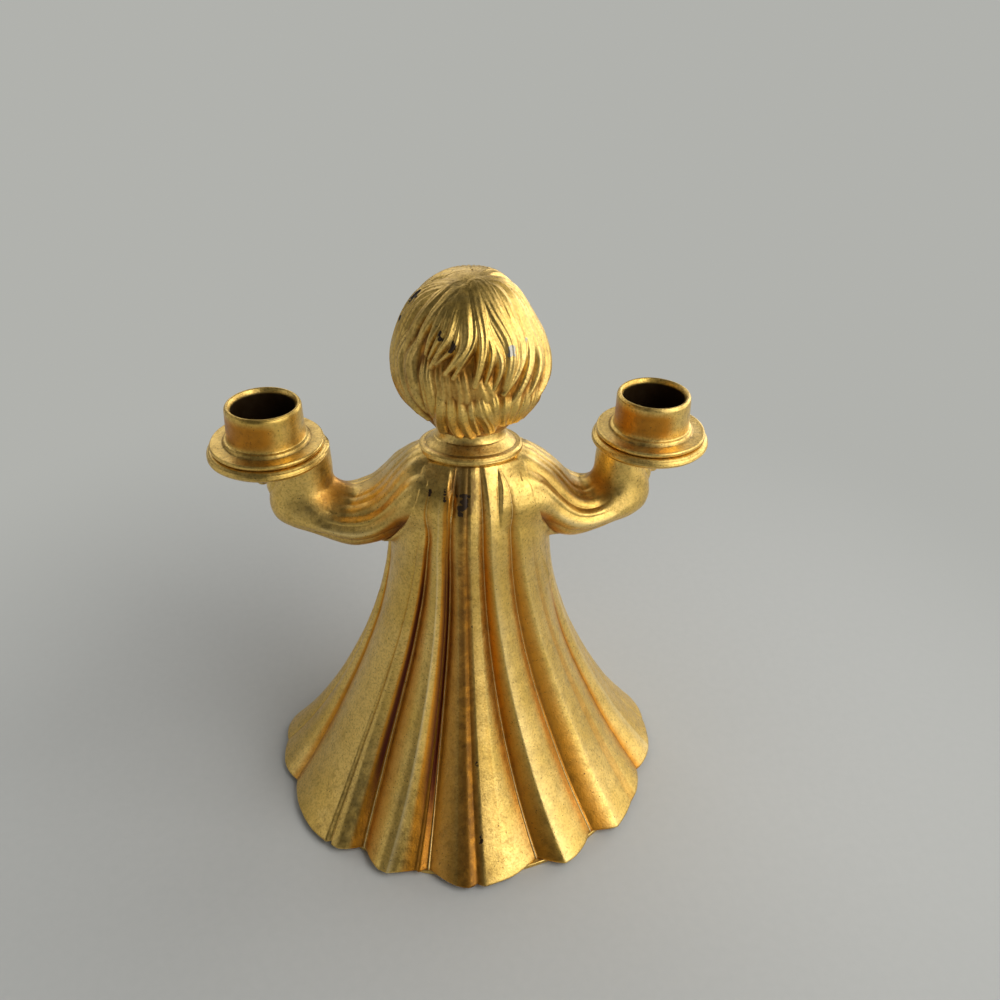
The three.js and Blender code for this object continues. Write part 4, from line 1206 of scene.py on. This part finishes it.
def floor_material(name):
    """Pale plaster near the figure, and far from it the same pale tone without the lamps' falloff."""
    g = Graph(name)
    plaster = g.mix(g.noise(300, 3.0), FLOOR_DARK, FLOOR_LIGHT)
    g.put(g.shader.inputs, {"Base Color": plaster, "Roughness": 0.75})
    far = g.node("VectorMath", "Value", {0: g.place}, operation="LENGTH")
    ray = g.nodes.new("ShaderNodeLightPath").outputs
    seen = g.math("ADD", ray["Is Camera Ray"], ray["Is Glossy Ray"])
    seen = g.math("ADD", seen, ray["Is Transmission Ray"])
    share = g.math("MULTIPLY", seen, g.span(far, FLOOR_NEAR, FLOOR_FAR))
    glow = g.node("Emission", "Emission", {"Color": FLOOR_TONE})
    blend = g.node("MixShader", "Shader", {"Fac": share, 1: g.shader.outputs["BSDF"], 2: glow})
    g.links.new(blend, g.nodes["Material Output"].inputs["Surface"])
    return g.material


# Stage, in metres and watts

FLOOR_HALF = 3.0
FLOOR_DROP = 0.0002
LAMP_AIM = Vector((0, 0, 0.09))
SKY_TINT = (0.96, 0.98, 1.0, 1)
SKY_STRENGTH = 0.075


def floor():
    corners = [(FLOOR_HALF * x, FLOOR_HALF * y, 0) for x, y in ((-1, -1), (1, -1), (1, 1), (-1, 1))]
    data = bpy.data.meshes.new("floor")
    data.from_pydata(corners, [], [(0, 1, 2, 3)])
    data.materials.append(floor_material("pale_floor"))
    thing = placed("floor", data)
    thing.location.z = -FLOOR_DROP


def softbox(name, spot, width, height, power):
    light = bpy.data.lights.new(name, "AREA")
    light.shape = "RECTANGLE"
    light.size = width
    light.size_y = height
    light.energy = power
    thing = placed(name, light)
    thing.location = spot
    thing.rotation_euler = (LAMP_AIM - Vector(spot)).to_track_quat("-Z", "Y").to_euler()


def sky():
    world = bpy.data.worlds.new("studio")
    bpy.context.scene.world = world
    world.use_nodes = True
    ground = world.node_tree.nodes["Background"]
    ground.inputs["Color"].default_value = SKY_TINT
    ground.inputs["Strength"].default_value = SKY_STRENGTH


def photo_camera():
    level = math.cos(PHOTO_PITCH)
    back = Vector((math.sin(PHOTO_YAW) * level, math.cos(PHOTO_YAW) * level, math.sin(PHOTO_PITCH)))
    right = Vector((-math.cos(PHOTO_YAW), math.sin(PHOTO_YAW), 0))
    up = back.cross(right)
    cos, sin = math.cos(PHOTO_ROLL), math.sin(PHOTO_ROLL)
    right, up = cos * right + sin * up, cos * up - sin * right
    lens = bpy.data.cameras.new("photo_camera")
    lens.lens = PHOTO_LENS
    lens.sensor_width = PHOTO_SENSOR
    lens.clip_start = 0.01
    thing = placed("photo_camera", lens)
    spot = Matrix.Translation((PHOTO_AIM + PHOTO_DISTANCE * back) * MM)
    thing.matrix_world = spot @ Matrix((right, up, back)).transposed().to_4x4()
    bpy.context.scene.camera = thing


def main():
    robe_gold = worn_gold("worn_gold_robe", ROBE_CHIPS)
    head_gold = worn_gold("worn_gold_head", HEAD_CHIPS, HEAD_BRIGHT_CHIPS, HEAD_PALE)
    cup_gold = worn_gold("worn_gold_cup")
    zinc = dull_zinc("dull_zinc")
    robe_half("robe_back", 1, robe_gold, 3)
    robe_half("robe_front", -1, robe_gold, 13)
    base_plate(robe_gold)
    neck_collar(robe_gold)
    head_half("head_back", 1, head_gold, 23)
    head_half("head_front", -1, head_gold, 29)
    for hand in (LEFT, RIGHT):
        arm(hand, robe_gold)
        drip_pan(hand, cup_gold)
        candle_cup(hand, cup_gold)
        cup_screw(hand, zinc)
    floor()
    sky()
    softbox("right", (-1.15, 0.1, 0.3), 1.0, 0.6, 2.8)
    softbox("right_back", (-0.78, 0.84, 0.45), 0.8, 0.85, 4.2)
    softbox("right_high", (-0.72, 0.34, 0.88), 0.9, 0.75, 5.6)
    softbox("right_front", (-0.9, -0.75, 0.45), 1.0, 0.7, 5.5)
    softbox("left", (1.2, 0.1, 0.5), 1.0, 0.8, 1.4)
    softbox("front", (0.4, -1.3, 0.9), 1.8, 1.0, 6.0)
    photo_camera()
    bpy.context.scene.view_settings.view_transform = "Standard"


main()
